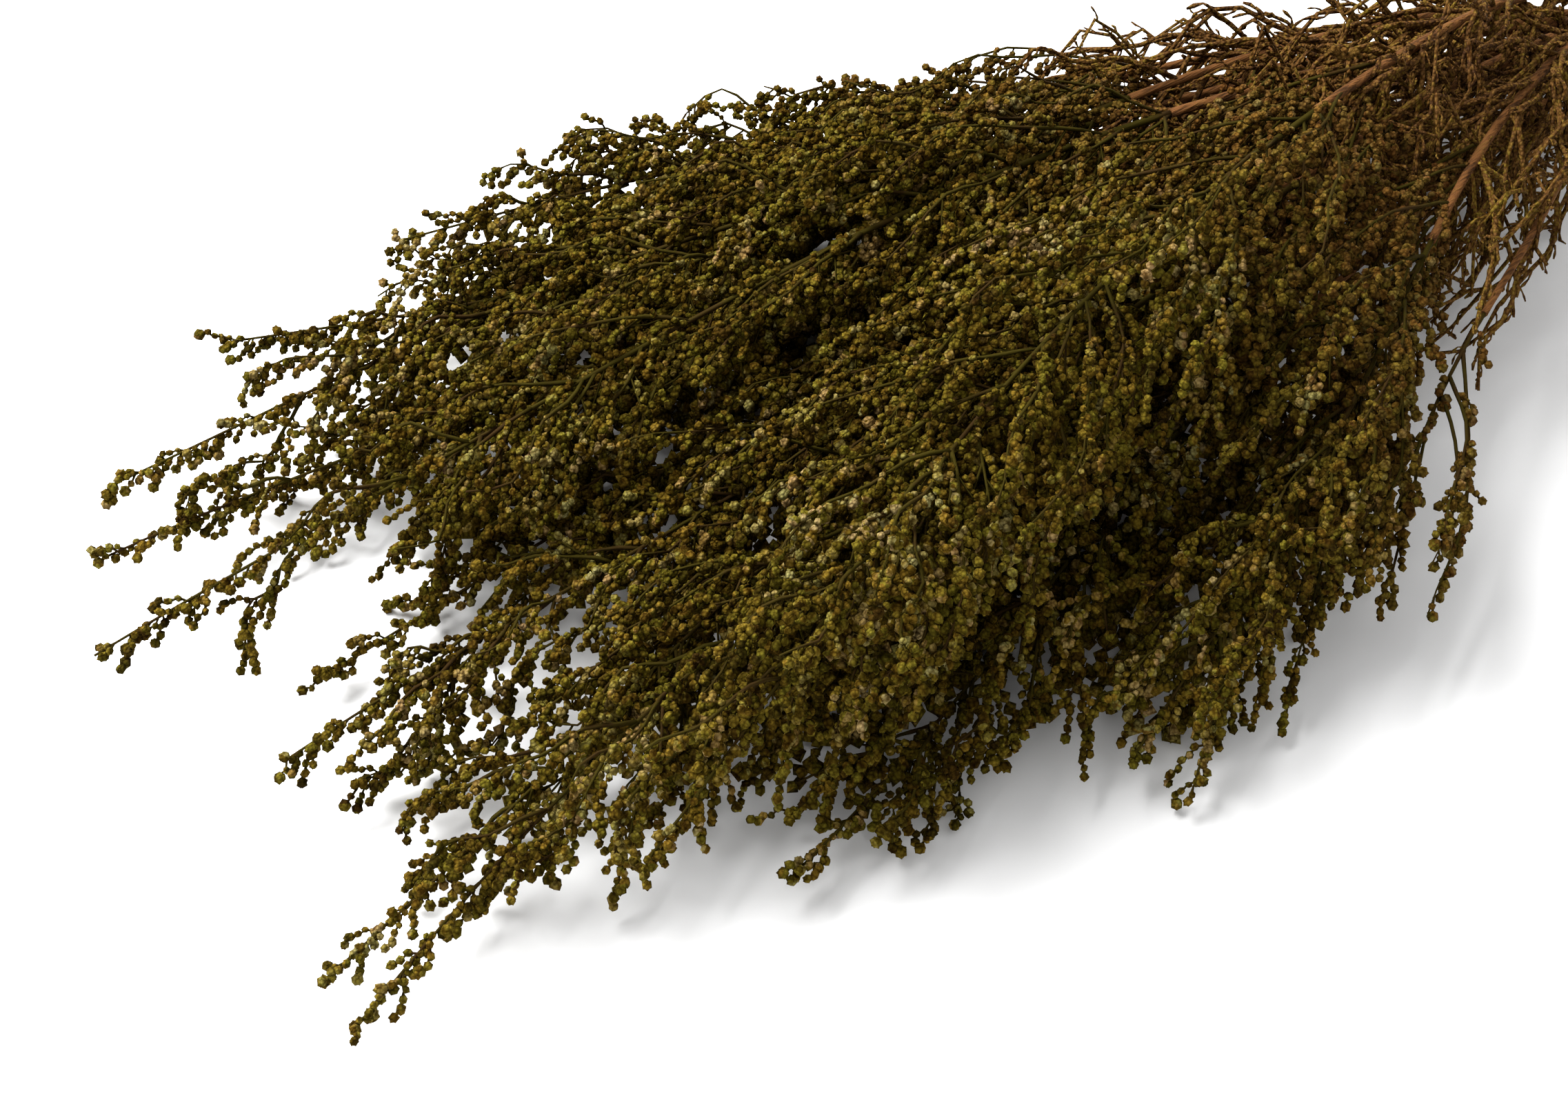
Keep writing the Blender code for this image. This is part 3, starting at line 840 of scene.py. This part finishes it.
def sprig(rng, count, sizes, knobs, swollen=1.0, is_fine=False):
    """A stalk with a knob at each turn, the largest at its end; straight unless it is fine.

    A swollen sprig has fewer and larger knobs, for the inside of the bunch.
    """
    length = count * sizes.knob_pitch
    count = max(FEWEST_KNOBS, round(count / swollen))
    points = zigzag_points(rng, count, length / count)
    shape = bmesh.new()
    stalk = points if is_fine else [points[0], points[-1]]
    add_tube(shape, stalk, [sizes.stalk_radius] * len(stalk), STALK_SIDES, look=STALK_LOOK)
    lateness = SLENDER if swollen == 1.0 else FULL
    for index, point in enumerate(points[1:]):
        share = (index + 1) / count
        radius = mixed(sizes.small_knob_radius, sizes.knob_radius, share ** lateness)
        radius *= swollen * rng.uniform(*KNOB_VARIES)
        along = (point - points[index]).normalized()
        stretch = Matrix.Diagonal((radius, radius, radius * rng.uniform(*KNOB_STRETCH), 1.0))
        aside = turned_to(along) @ Vector((math.cos(index), math.sin(index), 0)) * radius * KNOB_ASIDE
        place = Matrix.Translation(point + aside) @ turned_to(along, rng.uniform(0, math.pi)) @ stretch
        is_at_end = count - index <= END_KNOBS
        add_copy(shape, rng.choice(knobs[is_at_end]), place)
    return mesh_of(shape, "sprig")


def spur(rng, sizes):
    """A thin brown side twig, rough with small scales."""
    bend = rng.uniform(*SPUR_BEND)
    heading = Vector((0, 0, 1))
    points = [Vector()]
    for ring in range(SPUR_RINGS):
        heading = Matrix.Rotation(-bend / SPUR_RINGS, 3, "X") @ heading
        wander = Vector((rng.uniform(*SPUR_WANDER), rng.uniform(*SPUR_WANDER), 0))
        points.append(points[-1] + (heading + wander) * sizes.spur_length / SPUR_RINGS)
    radii = []
    for ring in range(SPUR_RINGS + 1):
        is_scale = ring % 2 == 1
        radii.append(sizes.spur_radius * (rng.uniform(*SPUR_SCALE) if is_scale else SPUR_VALLEY))
    shape = bmesh.new()
    add_tube(shape, points, radii, STALK_SIDES, turn=SPUR_TURN, look=SPUR_LOOK)
    return mesh_of(shape, "spur")


Sprout = namedtuple("Sprout", "root leaving bend_to length")


def sprouts(line, growth, rng, sway=SWAY):
    """Where sprigs or spurs leave a line, which way, and how long they are."""
    found = []
    length = sum((end - start).length for start, end in zip(line, line[1:]))
    distance = growth.first + growth.spacing * rng.random()
    turn = rng.uniform(0, 360)
    while distance < length:
        point, along = point_at(line, distance)
        share = distance / length
        across = turned_to(along, math.radians(turn)) @ Vector((1, 0, 0))
        lean = math.radians(growth.opening * rng.uniform(*LEAN_VARIES))
        leaving = along * math.cos(lean) + across * math.sin(lean)
        hang = smooth_step((point.z - HANGS_FROM) / (HANGS_ALL - HANGS_FROM))
        leaving += sway * hang
        reach = mixed(growth.longest, growth.shortest, share ** LENGTH_FALLS) * rng.uniform(*LENGTH_VARIES)
        reach *= mixed(1.0, SHORT_ABOVE, (across.z + 1) / 2)
        lowest = (EDGE_ROOM - point.z) / reach
        leaving.z = max(leaving.z, lowest)
        bend_to = along + END_SWAY * sway * hang
        found.append(Sprout(point, leaving.normalized(), bend_to, reach))
        turn += GOLDEN_TURN + rng.uniform(*TURN_VARIES)
        distance += growth.spacing * rng.uniform(*SPACING_VARIES)
    return found


def point_at(line, distance):
    """The point at a distance along a line, and the way that the line runs there."""
    for start, end in zip(line, line[1:]):
        length = (end - start).length
        if distance <= length or end is line[-1]:
            return start.lerp(end, distance / length), (end - start) / length
        distance -= length


def sprout_end(sprout):
    return sprout.root + sprout.leaving * sprout.length


def sprout_frame(sprout, scale):
    """The frame of a sprout: +Z the way it leaves, +Y the way it bends."""
    bend = (sprout.bend_to - sprout.leaving * sprout.bend_to.dot(sprout.leaving)).normalized()
    axes = Matrix((bend.cross(sprout.leaving), bend, sprout.leaving)).transposed().to_4x4()
    return Matrix.Translation(sprout.root) @ axes @ Matrix.Scale(scale, 4)


def cover(ends):
    """How well each end is hidden: how many others hide it on the side where the fewest do.

    It is taken to be less near the tips, which stand apart and show from all sides.
    """
    rise = math.radians(COVER_RISE)
    sides = [(0.0, 0.0, 1.0)]
    for side in range(COVER_SIDES):
        angle = 2 * math.pi * side / COVER_SIDES
        sides.append((math.cos(angle) * math.cos(rise), math.sin(angle) * math.cos(rise), math.sin(rise)))
    sides = np.array(sides).T
    points = np.array(ends)
    found = []
    for end, point in zip(ends, points):
        apart = points - point
        distances = np.linalg.norm(apart, axis=1)
        near = (distances < COVER_REACH) & (distances > 0)
        towards = (apart[near] / distances[near, None]) @ sides
        hiding = (towards > COVER_CONE).sum(axis=0)
        found.append(hiding.min() + near.sum() / len(ends) - TIPS_OPEN * tipwards(end))
    return np.array(found)


def make_piece(name, shape, looks, node):
    """A finished piece at the origin that rides on the bunch and stands for a node of the model.

    What would leave the model's box ends at its side.
    """
    bmesh.ops.transform(shape, matrix=TO_MODEL, verts=shape.verts[:])
    for vert in shape.verts:
        vert.co = [min(max(low, part), high) for low, part, high in zip(MODEL_LOW, vert.co, MODEL_HIGH)]
    mesh = mesh_of(shape, name)
    for look in looks:
        mesh.materials.append(look)
    piece = bpy.data.objects.new(name, mesh)
    bpy.context.scene.collection.objects.link(piece)
    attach(piece, "root")
    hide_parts(node)


# Materials

def new_look(name, roughness):
    look = bpy.data.materials.new(name)
    look.use_nodes = True
    shader = look.node_tree.nodes["Principled BSDF"]
    shader.inputs["Roughness"].default_value = roughness
    shader.inputs["Specular IOR Level"].default_value = SPECULAR
    return look, look.node_tree, shader


def add_node(tree, kind, **values):
    """A shader node with some of its sockets set, by name."""
    node = tree.nodes.new(kind)
    for name, value in values.items():
        node.inputs[name.replace("_", " ")].default_value = value
    return node


def feed(tree, socket, value):
    """Link a socket to another one, or give it a number or a colour."""
    if isinstance(value, bpy.types.NodeSocket):
        tree.links.new(value, socket)
    elif socket.type == "RGBA":
        socket.default_value = (*value, 1.0)
    else:
        socket.default_value = value


def object_place(tree, stretch=(1.0, 1.0, 1.0)):
    """Coordinates on the piece in metres, stretched along its axes."""
    place = add_node(tree, "ShaderNodeTexCoord")
    mapping = add_node(tree, "ShaderNodeMapping", Scale=stretch)
    tree.links.new(place.outputs["Object"], mapping.inputs["Vector"])
    return mapping.outputs["Vector"]


def noise(tree, place, scale, detail=COARSE):
    node = add_node(tree, "ShaderNodeTexNoise", Scale=scale, Detail=detail)
    tree.links.new(place, node.inputs["Vector"])
    return node.outputs["Fac"]


def cells(tree, place, size):
    """Small cells: two random values in each, and the distance from its middle."""
    node = add_node(tree, "ShaderNodeTexVoronoi", Scale=1 / size)
    tree.links.new(place, node.inputs["Vector"])
    value = add_node(tree, "ShaderNodeSeparateColor")
    tree.links.new(node.outputs["Color"], value.inputs["Color"])
    return value.outputs["Red"], value.outputs["Green"], node.outputs["Distance"]


def computed(tree, operation, first, second):
    """The result of a Math node on two values or sockets."""
    node = tree.nodes.new("ShaderNodeMath")
    node.operation = operation
    feed(tree, node.inputs[0], first)
    feed(tree, node.inputs[1], second)
    return node.outputs["Value"]


def weighed(tree, *parts):
    """The sum of pairs of a value and its weight."""
    first, *others = [computed(tree, "MULTIPLY", value, weight) for value, weight in parts]
    for other in others:
        first = computed(tree, "ADD", first, other)
    return first


def ramp(tree, factor, places, tints):
    """A colour ramp that has these tints at these places."""
    node = tree.nodes.new("ShaderNodeValToRGB")
    while len(node.color_ramp.elements) < len(tints):
        node.color_ramp.elements.new(1.0)
    for element, position, tint in zip(node.color_ramp.elements, places, tints):
        element.position = position
        element.color = (*tint, 1.0)
    tree.links.new(factor, node.inputs["Fac"])
    return node.outputs["Color"]


def blended(tree, mode, factor, first, second):
    """A Mix node on two colours or sockets."""
    node = tree.nodes.new("ShaderNodeMix")
    node.data_type = "RGBA"
    node.blend_type = mode
    for name, value in (("Factor", factor), ("A", first), ("B", second)):
        feed(tree, next(socket for socket in node.inputs if socket.name == name and socket.enabled), value)
    return next(socket for socket in node.outputs if socket.enabled)


def bumped(tree, shader, height, depth):
    node = add_node(tree, "ShaderNodeBump", Strength=1.0, Distance=depth)
    tree.links.new(height, node.inputs["Height"])
    tree.links.new(node.outputs["Normal"], shader.inputs["Normal"])


def scaly_with_pit_shade(tree, shader, tint, grain, pit_shade_colour, depth):
    """A tint on small scales: they stand out, and painted shade darkens the pits between them."""
    # Painted shade: the tint darkens towards the edge of each cell, where the pits between scales are.
    painted_pit_shade = ramp(tree, grain, PIT_SHADE_TONES, (WHITE, pit_shade_colour))
    tree.links.new(blended(tree, "MULTIPLY", 1.0, tint, painted_pit_shade), shader.inputs["Base Color"])
    bumped(tree, shader, computed(tree, "SUBTRACT", 1.0, grain), depth)


def knob_look(colours):
    """Woolly knobs: every few of them in another olive, with dusty clumps and painted shade in the pits
    between their grains.
    """
    look, tree, shader = new_look("Woolly knobs", KNOB_ROUGHNESS)
    place = object_place(tree)
    each, cast, _ = cells(tree, place, KNOB_CELL)
    clump = noise(tree, place, CLUMP_SCALE)
    speck = noise(tree, place, SPECK_SCALE)
    tone = weighed(tree, (each, EACH_COUNTS), (clump, CLUMP_COUNTS), (speck, SPECK_COUNTS))
    tints = colours.shaded_knob, colours.olive_knob, colours.yellow_knob, colours.dusty_knob
    tint = ramp(tree, tone, KNOB_TONES, tints)
    along = tree.nodes.new("ShaderNodeSeparateXYZ")
    tree.links.new(place, along.inputs["Vector"])
    near_wood = add_node(
        tree, "ShaderNodeMapRange", From_Min=BAND_MIDDLE.x - BROWN_UNTIL, From_Max=BAND_MIDDLE.x - BROWN_FROM,
    )
    tree.links.new(along.outputs["X"], near_wood.inputs["Value"])
    browned = blended(tree, "MIX", near_wood.outputs["Result"], tint, colours.spur)
    patches = noise(tree, place, CAST_SCALE)
    cast = weighed(tree, (cast, CELL_CAST_COUNTS), (patches, PATCH_CAST_COUNTS))
    shifted = blended(tree, "MULTIPLY", 1.0, browned, ramp(tree, cast, CASTS, (GREEN_CAST, RED_CAST)))
    # Painted shade: darker pits between the small grains of each knob.
    _, _, grain = cells(tree, place, KNOB_GRAIN)
    scaly_with_pit_shade(tree, shader, shifted, grain, KNOB_PIT_SHADE, KNOB_DEPTH)
    return look


def stalk_look(colours):
    """Green and brown stalks with fine lengthwise streaks."""
    look, tree, shader = new_look("Stalks", STALK_ROUGHNESS)
    streaks = noise(tree, object_place(tree, STALK_STREAKS), 1.0)
    patches = noise(tree, object_place(tree), STALK_PATCH_SCALE)
    tone = weighed(tree, (patches, PATCH_COUNTS), (streaks, STREAK_COUNTS))
    tint = ramp(tree, tone, STALK_TONES, (colours.brown_stalk, colours.green_stalk))
    tree.links.new(tint, shader.inputs["Base Color"])
    bumped(tree, shader, streaks, STALK_DEPTH)
    return look


def bark_look(colours):
    """Reddish bark with dark streaks, paler where it is rubbed."""
    look, tree, shader = new_look("Bark", BARK_ROUGHNESS)
    streaks = noise(tree, object_place(tree, BARK_STREAKS), 1.0, FINEST)
    patches = noise(tree, object_place(tree), BARK_PATCH_SCALE, FINE)
    tone = weighed(tree, (streaks, BARK_STREAK_COUNTS), (patches, BARK_PATCH_COUNTS))
    tint = ramp(tree, tone, BARK_TONES, (colours.old_bark, colours.bark, colours.spur))
    tree.links.new(tint, shader.inputs["Base Color"])
    bumped(tree, shader, streaks, BARK_DEPTH)
    return look


def spur_look(colours):
    """Dry, scaly spurs, brown with olive patches, and painted shade in the pits between their scales."""
    look, tree, shader = new_look("Spurs", SPUR_ROUGHNESS)
    place = object_place(tree)
    each, _, grain = cells(tree, place, SPUR_GRAIN)
    patches = noise(tree, place, SPUR_PATCH_SCALE)
    tone = weighed(tree, (each, SPUR_EACH_COUNTS), (patches, SPUR_PATCH_COUNTS))
    tint = ramp(tree, tone, SPUR_TONES, (colours.old_bark, colours.spur, colours.yellow_knob))
    # Painted shade: darker pits between the small scales of each spur.
    scaly_with_pit_shade(tree, shader, tint, grain, SPUR_PIT_SHADE, SPUR_DEPTH)
    return look


def cut_look(colours):
    """Pale cut wood with darker fibres."""
    look, tree, shader = new_look("Cut wood", CUT_ROUGHNESS)
    fibres = noise(tree, object_place(tree), FIBRE_SCALE, FINE)
    tint = ramp(tree, fibres, FIBRE_TONES, (colours.bark, colours.cut_wood))
    tree.links.new(tint, shader.inputs["Base Color"])
    return look


def rubber_look(colours):
    """Matt rubber, a little uneven in colour."""
    look, tree, shader = new_look("Rubber", RUBBER_ROUGHNESS)
    patches = noise(tree, object_place(tree), RUBBER_SCALE, FINE)
    dark = [part * RUBBER_DARK for part in colours.rubber]
    tree.links.new(ramp(tree, patches, RUBBER_TONES, (dark, colours.rubber)), shader.inputs["Base Color"])
    bumped(tree, shader, patches, RUBBER_DEPTH)
    return look


# Stems

def grown_lines(stem, last, branches):
    """The line of a stem, from the band this far out, and those of the branches on it."""
    stem_points = [stem_point(stem, run) for run in stem_line(stem, 0, last, STEM_STEP)]
    return [stem_points] + [branch_line(branch, FINE_STEPS) for branch in branches]


def woody_part(index, twigs, spurs, sizes):
    """The wood of one stem with its cut end, its twigs and their spurs."""
    stem = STEMS[index]
    rng = random.Random(f"wood {index}")
    shape = bmesh.new()
    runs = stem_line(stem, cut_run(stem), WOOD_LENGTH, STEM_STEP)
    line = [stem_point(stem, run) for run in runs]
    radii = [stem_radius(stem, run) * rng.uniform(*STEM_VARIES) for run in runs]
    add_tube(shape, line, radii, STEM_SIDES, look=BARK_LOOK, end_look=CUT_LOOK)
    on_stem = Growth(
        STEM_SPUR_SPACING, BUTT_LENGTH + FIRST_STEM_SPUR,
        sizes.spur_length, sizes.spur_length * LAST_STEM_SPUR, STEM_SPUR_OPENING,
    )
    on_twigs = Growth(
        sizes.spur_spacing, FIRST_TWIG_SPUR,
        sizes.spur_length * LONGEST_TWIG_SPUR, sizes.spur_length * LAST_TWIG_SPUR, TWIG_SPUR_OPENING,
    )
    growing = sprouts(line, on_stem, rng, Vector())
    for order, twig in enumerate(twigs):
        amount = WANDER if order < TWIGS else TWIG_WANDER
        line = wandering(branch_line(twig, FINE_STEPS), rng, amount)
        add_branch(shape, line, TWIG_RADIUS, TWIG_THINS, TWIG_VARIES, SPUR_LOOK, rng)
        growing += sprouts(line, on_twigs, rng, Vector())
    for sprout in growing:
        add_copy(shape, rng.choice(spurs), sprout_frame(sprout, sprout.length / sizes.spur_length))
    return shape


def green_part(index, shoots, sizes):
    """The olive part of one stem with its shoots, and the sprigs that may grow on them."""
    stem = STEMS[index]
    rng = random.Random(f"green {index}")
    shape = bmesh.new()
    runs = stem_line(stem, WOOD_LENGTH, stem.reach, STEM_STEP)
    line = [stem_point(stem, run) for run in runs]
    radii = [stem_radius(stem, run) * mixed(*GREEN_THINS, run / stem.reach) for run in runs]
    add_tube(shape, line, radii, SHOOT_SIDES, look=STALK_LOOK)
    sparse = BARE_SPACING if index == BARE else 1.0
    longest = sizes.sprig_length / math.sqrt(sparse)
    on_stem = Growth(STEM_SPRIG_SPACING * sparse, 0.0, longest, LAST_STEM_SPRIG, STEM_SPRIG_OPENING)
    tufts = STEM_TUFTS._replace(spacing=STEM_TUFTS.spacing * sparse)
    on_shoots = Growth(
        sizes.sprig_spacing * sparse, FIRST_SPRIG, longest, sizes.last_sprig_length, SPRIG_OPENING,
    )
    found = sprouts(line, on_stem, rng)
    found += sprouts(line, tufts, rng)
    found += sprouts(line[-BEADED_TIP:], TIP_BEADS, rng)
    for shoot in shoots:
        line = wandering(branch_line(shoot, FINE_STEPS), rng, WANDER)
        add_branch(shape, line, SHOOT_RADIUS, SHOOT_THINS, SHOOT_VARIES, STALK_LOOK, rng)
        found += sprouts(line, on_shoots, rng)
        found += sprouts(line[round(BEADED_FROM * FINE_STEPS):], SHOOT_BEADS, rng)
        end = (line[-1] - line[-2]).normalized()
        found.append(Sprout(line[-1], end, DOWN + end.orthogonal(), END_SPRIG))
    return shape, found


def sprigs(rng, sizes, knobs, swollen=1.0, is_fine=False):
    """A few sprigs of each number of knobs."""
    return {
        count: [sprig(rng, count, sizes, knobs, swollen, is_fine) for _ in range(SHAPES)]
        for count in range(FEWEST_KNOBS, MOST_KNOBS + 1)
    }


def graded_sprigs(sizes):
    """The sprigs of each grade, from those in the open to those deep inside the bunch."""
    rng = random.Random("knobs")
    fine = [fine_knob(rng) for _ in range(SHAPES)]
    plain = [plain_knob(rng) for _ in range(SHAPES)]
    rough = [rough_knob(rng) for _ in range(SHAPES)]
    return (
        sprigs(rng, sizes, (plain, fine), is_fine=True),
        sprigs(rng, sizes, (plain, plain)),
        sprigs(rng, sizes, (rough, rough), SWOLLEN),
        sprigs(rng, sizes, (rough, rough), MOST_SWOLLEN),
    )


def add_sprigs(growing, sizes):
    """Add a sprig of the right grade and length for each pair of a shape and a sprout."""
    grades = graded_sprigs(sizes)
    covers = cover([sprout_end(sprout) for _, sprout in growing])
    limits = np.quantile(covers, (OUTER_SHARE, 1 - INNER_SHARE, 1 - CORE_SHARE))
    rng = random.Random("sprigs")
    for (shape, sprout), covered in zip(growing, covers):
        count = round(sprout.length / sizes.knob_pitch)
        count = min(max(count, FEWEST_KNOBS), MOST_KNOBS)
        scale = rng.uniform(*SPRIG_VARIES)
        grade = sum(covered >= limit for limit in limits)
        add_copy(shape, rng.choice(grades[grade][count]), sprout_frame(sprout, scale))


def stand(thing, place, target):
    """Put a light or the camera into the scene, in its place and turned towards a target."""
    middle = Vector((BAND_MIDDLE.x, BAND_MIDDLE.y, 0.0))
    thing.location = middle + place
    thing.rotation_euler = (middle + target - thing.location).to_track_quat("-Z", "Y").to_euler()
    bpy.context.scene.collection.objects.link(thing)


# Operators

class STOEBE_OT_band(Operator):
    """Wind the rubber band round the stems"""

    bl_idname = "stoebe.band"
    bl_label = "Rubber band"

    def execute(self, context):
        strand = BAND_WIDTH / BAND_TURNS / 2
        middle = (BAND_INSIDE + BAND_OUTSIDE) / 2
        points = []
        for step in range(BAND_TURNS * TURN_STEPS + 1):
            share = step / (BAND_TURNS * TURN_STEPS)
            angle = 2 * math.pi * BAND_TURNS * share
            along = mixed(-1, 1, smooth_step(share)) * (BAND_WIDTH / 2 - strand)
            points.append(Vector((along, middle * math.cos(angle), BAND_OUTSIDE + middle * math.sin(angle))))
        shape = bmesh.new()
        add_tube(shape, points, [strand] * len(points), STEM_SIDES, flat=BAND_FLAT)
        look = rubber_look(context.scene.stoebe_colours)
        make_piece("rubber_band", shape, [look], "tie_band")
        return {"FINISHED"}


class STOEBE_OT_wood(Operator):
    """Make the woody part of each stem, with its bark, twigs and spurs"""

    bl_idname = "stoebe.wood"
    bl_label = "Woody stems"

    def execute(self, context):
        sizes = context.scene.stoebe_sizes
        colours = context.scene.stoebe_colours
        looks = [spur_look(colours), bark_look(colours), cut_look(colours)]
        rng = random.Random("spurs")
        spurs = [spur(rng, sizes) for _ in range(SPURS)]
        twigs, _ = model_branches()
        lines = [grown_lines(stem, WOOD_LENGTH, grown) for stem, grown in zip(STEMS, twigs)]
        envelope = Envelope([line for grown in lines for line in grown], *TWIGS_AMONG, TWIG_MARGIN)
        grow_more(twigs, envelope, sizes.extra_twigs, extra_twig, random.Random("extra twigs"))
        for index, grown in enumerate(twigs):
            number = f"{index + 1:02d}"
            shape = woody_part(index, grown, spurs, sizes)
            make_piece(f"wood_{number}", shape, looks, f"woody_stem_{number}")
        return {"FINISHED"}


class STOEBE_OT_shoots(Operator):
    """Make the olive part of each stem, with its shoots, sprigs and knobs"""

    bl_idname = "stoebe.shoots"
    bl_label = "Olive shoots"

    def execute(self, context):
        sizes = context.scene.stoebe_sizes
        colours = context.scene.stoebe_colours
        looks = [stalk_look(colours), knob_look(colours)]
        _, shoots = model_branches()
        lines = [grown_lines(stem, stem.reach, grown) for stem, grown in zip(STEMS, shoots)]
        around_all = Envelope([line for grown in lines for line in grown], *SPRIGS_AMONG)
        leafy_lines = [line for index, grown in enumerate(lines) if index != BARE for line in grown]
        around_leafy = Envelope(leafy_lines, *SHOOTS_AMONG)
        grow_more(shoots, around_leafy, sizes.extra_shoots, extra_shoot, random.Random("extra shoots"))
        shapes = []
        growing = []
        for index, grown in enumerate(shoots):
            shape, found = green_part(index, grown, sizes)
            shapes.append(shape)
            growing += [(shape, sprout) for sprout in around_all.fitted(found)]
        add_sprigs(growing, sizes)
        for index, shape in enumerate(shapes):
            number = f"{index + 1:02d}"
            make_piece(f"shoots_{number}", shape, looks, f"green_shoots_{number}")
        return {"FINISHED"}


class STOEBE_OT_stage(Operator):
    """Lay the pale floor and set the light and the camera"""

    bl_idname = "stoebe.stage"
    bl_label = "Stage"

    def execute(self, context):
        stage = context.scene.stoebe_stage
        shape = bmesh.new()
        bmesh.ops.create_grid(shape, x_segments=1, y_segments=1, size=stage.floor_size / 2)
        floor = bpy.data.objects.new("floor", mesh_of(shape, "floor"))
        look, _, shader = new_look("Floor", FLOOR_ROUGHNESS)
        shader.inputs["Base Color"].default_value = (*stage.floor_colour, 1.0)
        floor.data.materials.append(look)
        context.scene.collection.objects.link(floor)
        light = bpy.data.lights.new("key", "AREA")
        light.energy = stage.key_power
        light.size = stage.key_size
        stand(bpy.data.objects.new("key", light), KEY_PLACE, KEY_AIM)
        world = bpy.data.worlds.new("studio")
        world.use_nodes = True
        background = world.node_tree.nodes["Background"]
        background.inputs["Color"].default_value = (*WHITE, 1.0)
        background.inputs["Strength"].default_value = stage.sky
        context.scene.world = world
        camera = bpy.data.objects.new("camera", bpy.data.cameras.new("camera"))
        camera.data.lens = stage.lens
        stand(camera, CAMERA_PLACE, CAMERA_AIM)
        context.scene.camera = camera
        context.scene.view_settings.view_transform = "Standard"
        return {"FINISHED"}


class STOEBE_PT_bunch(Panel):
    """The steps that make the bunch, with the sizes and colours that they use"""

    bl_label = "Preserved stoebe"
    bl_space_type = "VIEW_3D"
    bl_region_type = "UI"
    bl_category = "Stoebe"

    def draw(self, context):
        for group in (context.scene.stoebe_sizes, context.scene.stoebe_colours, context.scene.stoebe_stage):
            box = self.layout.box()
            for name in group.__annotations__:
                box.prop(group, name)
        for operator in OPERATORS:
            self.layout.operator(operator.bl_idname)


OPERATORS = (STOEBE_OT_band, STOEBE_OT_wood, STOEBE_OT_shoots, STOEBE_OT_stage)
GROUPS = {
    "stoebe_sizes": StoebeSizes,
    "stoebe_colours": StoebeColours,
    "stoebe_stage": StoebeStage,
}


def register():
    for group in GROUPS.values():
        bpy.utils.register_class(group)
    for name, group in GROUPS.items():
        setattr(bpy.types.Scene, name, PointerProperty(type=group))
    for kind in (*OPERATORS, STOEBE_PT_bunch):
        bpy.utils.register_class(kind)


def unregister():
    for kind in (*OPERATORS, STOEBE_PT_bunch):
        bpy.utils.unregister_class(kind)
    for name, group in GROUPS.items():
        delattr(bpy.types.Scene, name)
        bpy.utils.unregister_class(group)


def main():
    register()
    bpy.ops.stoebe.band()
    bpy.ops.stoebe.wood()
    bpy.ops.stoebe.shoots()
    bpy.ops.stoebe.stage()


if __name__ == "__main__":
    main()
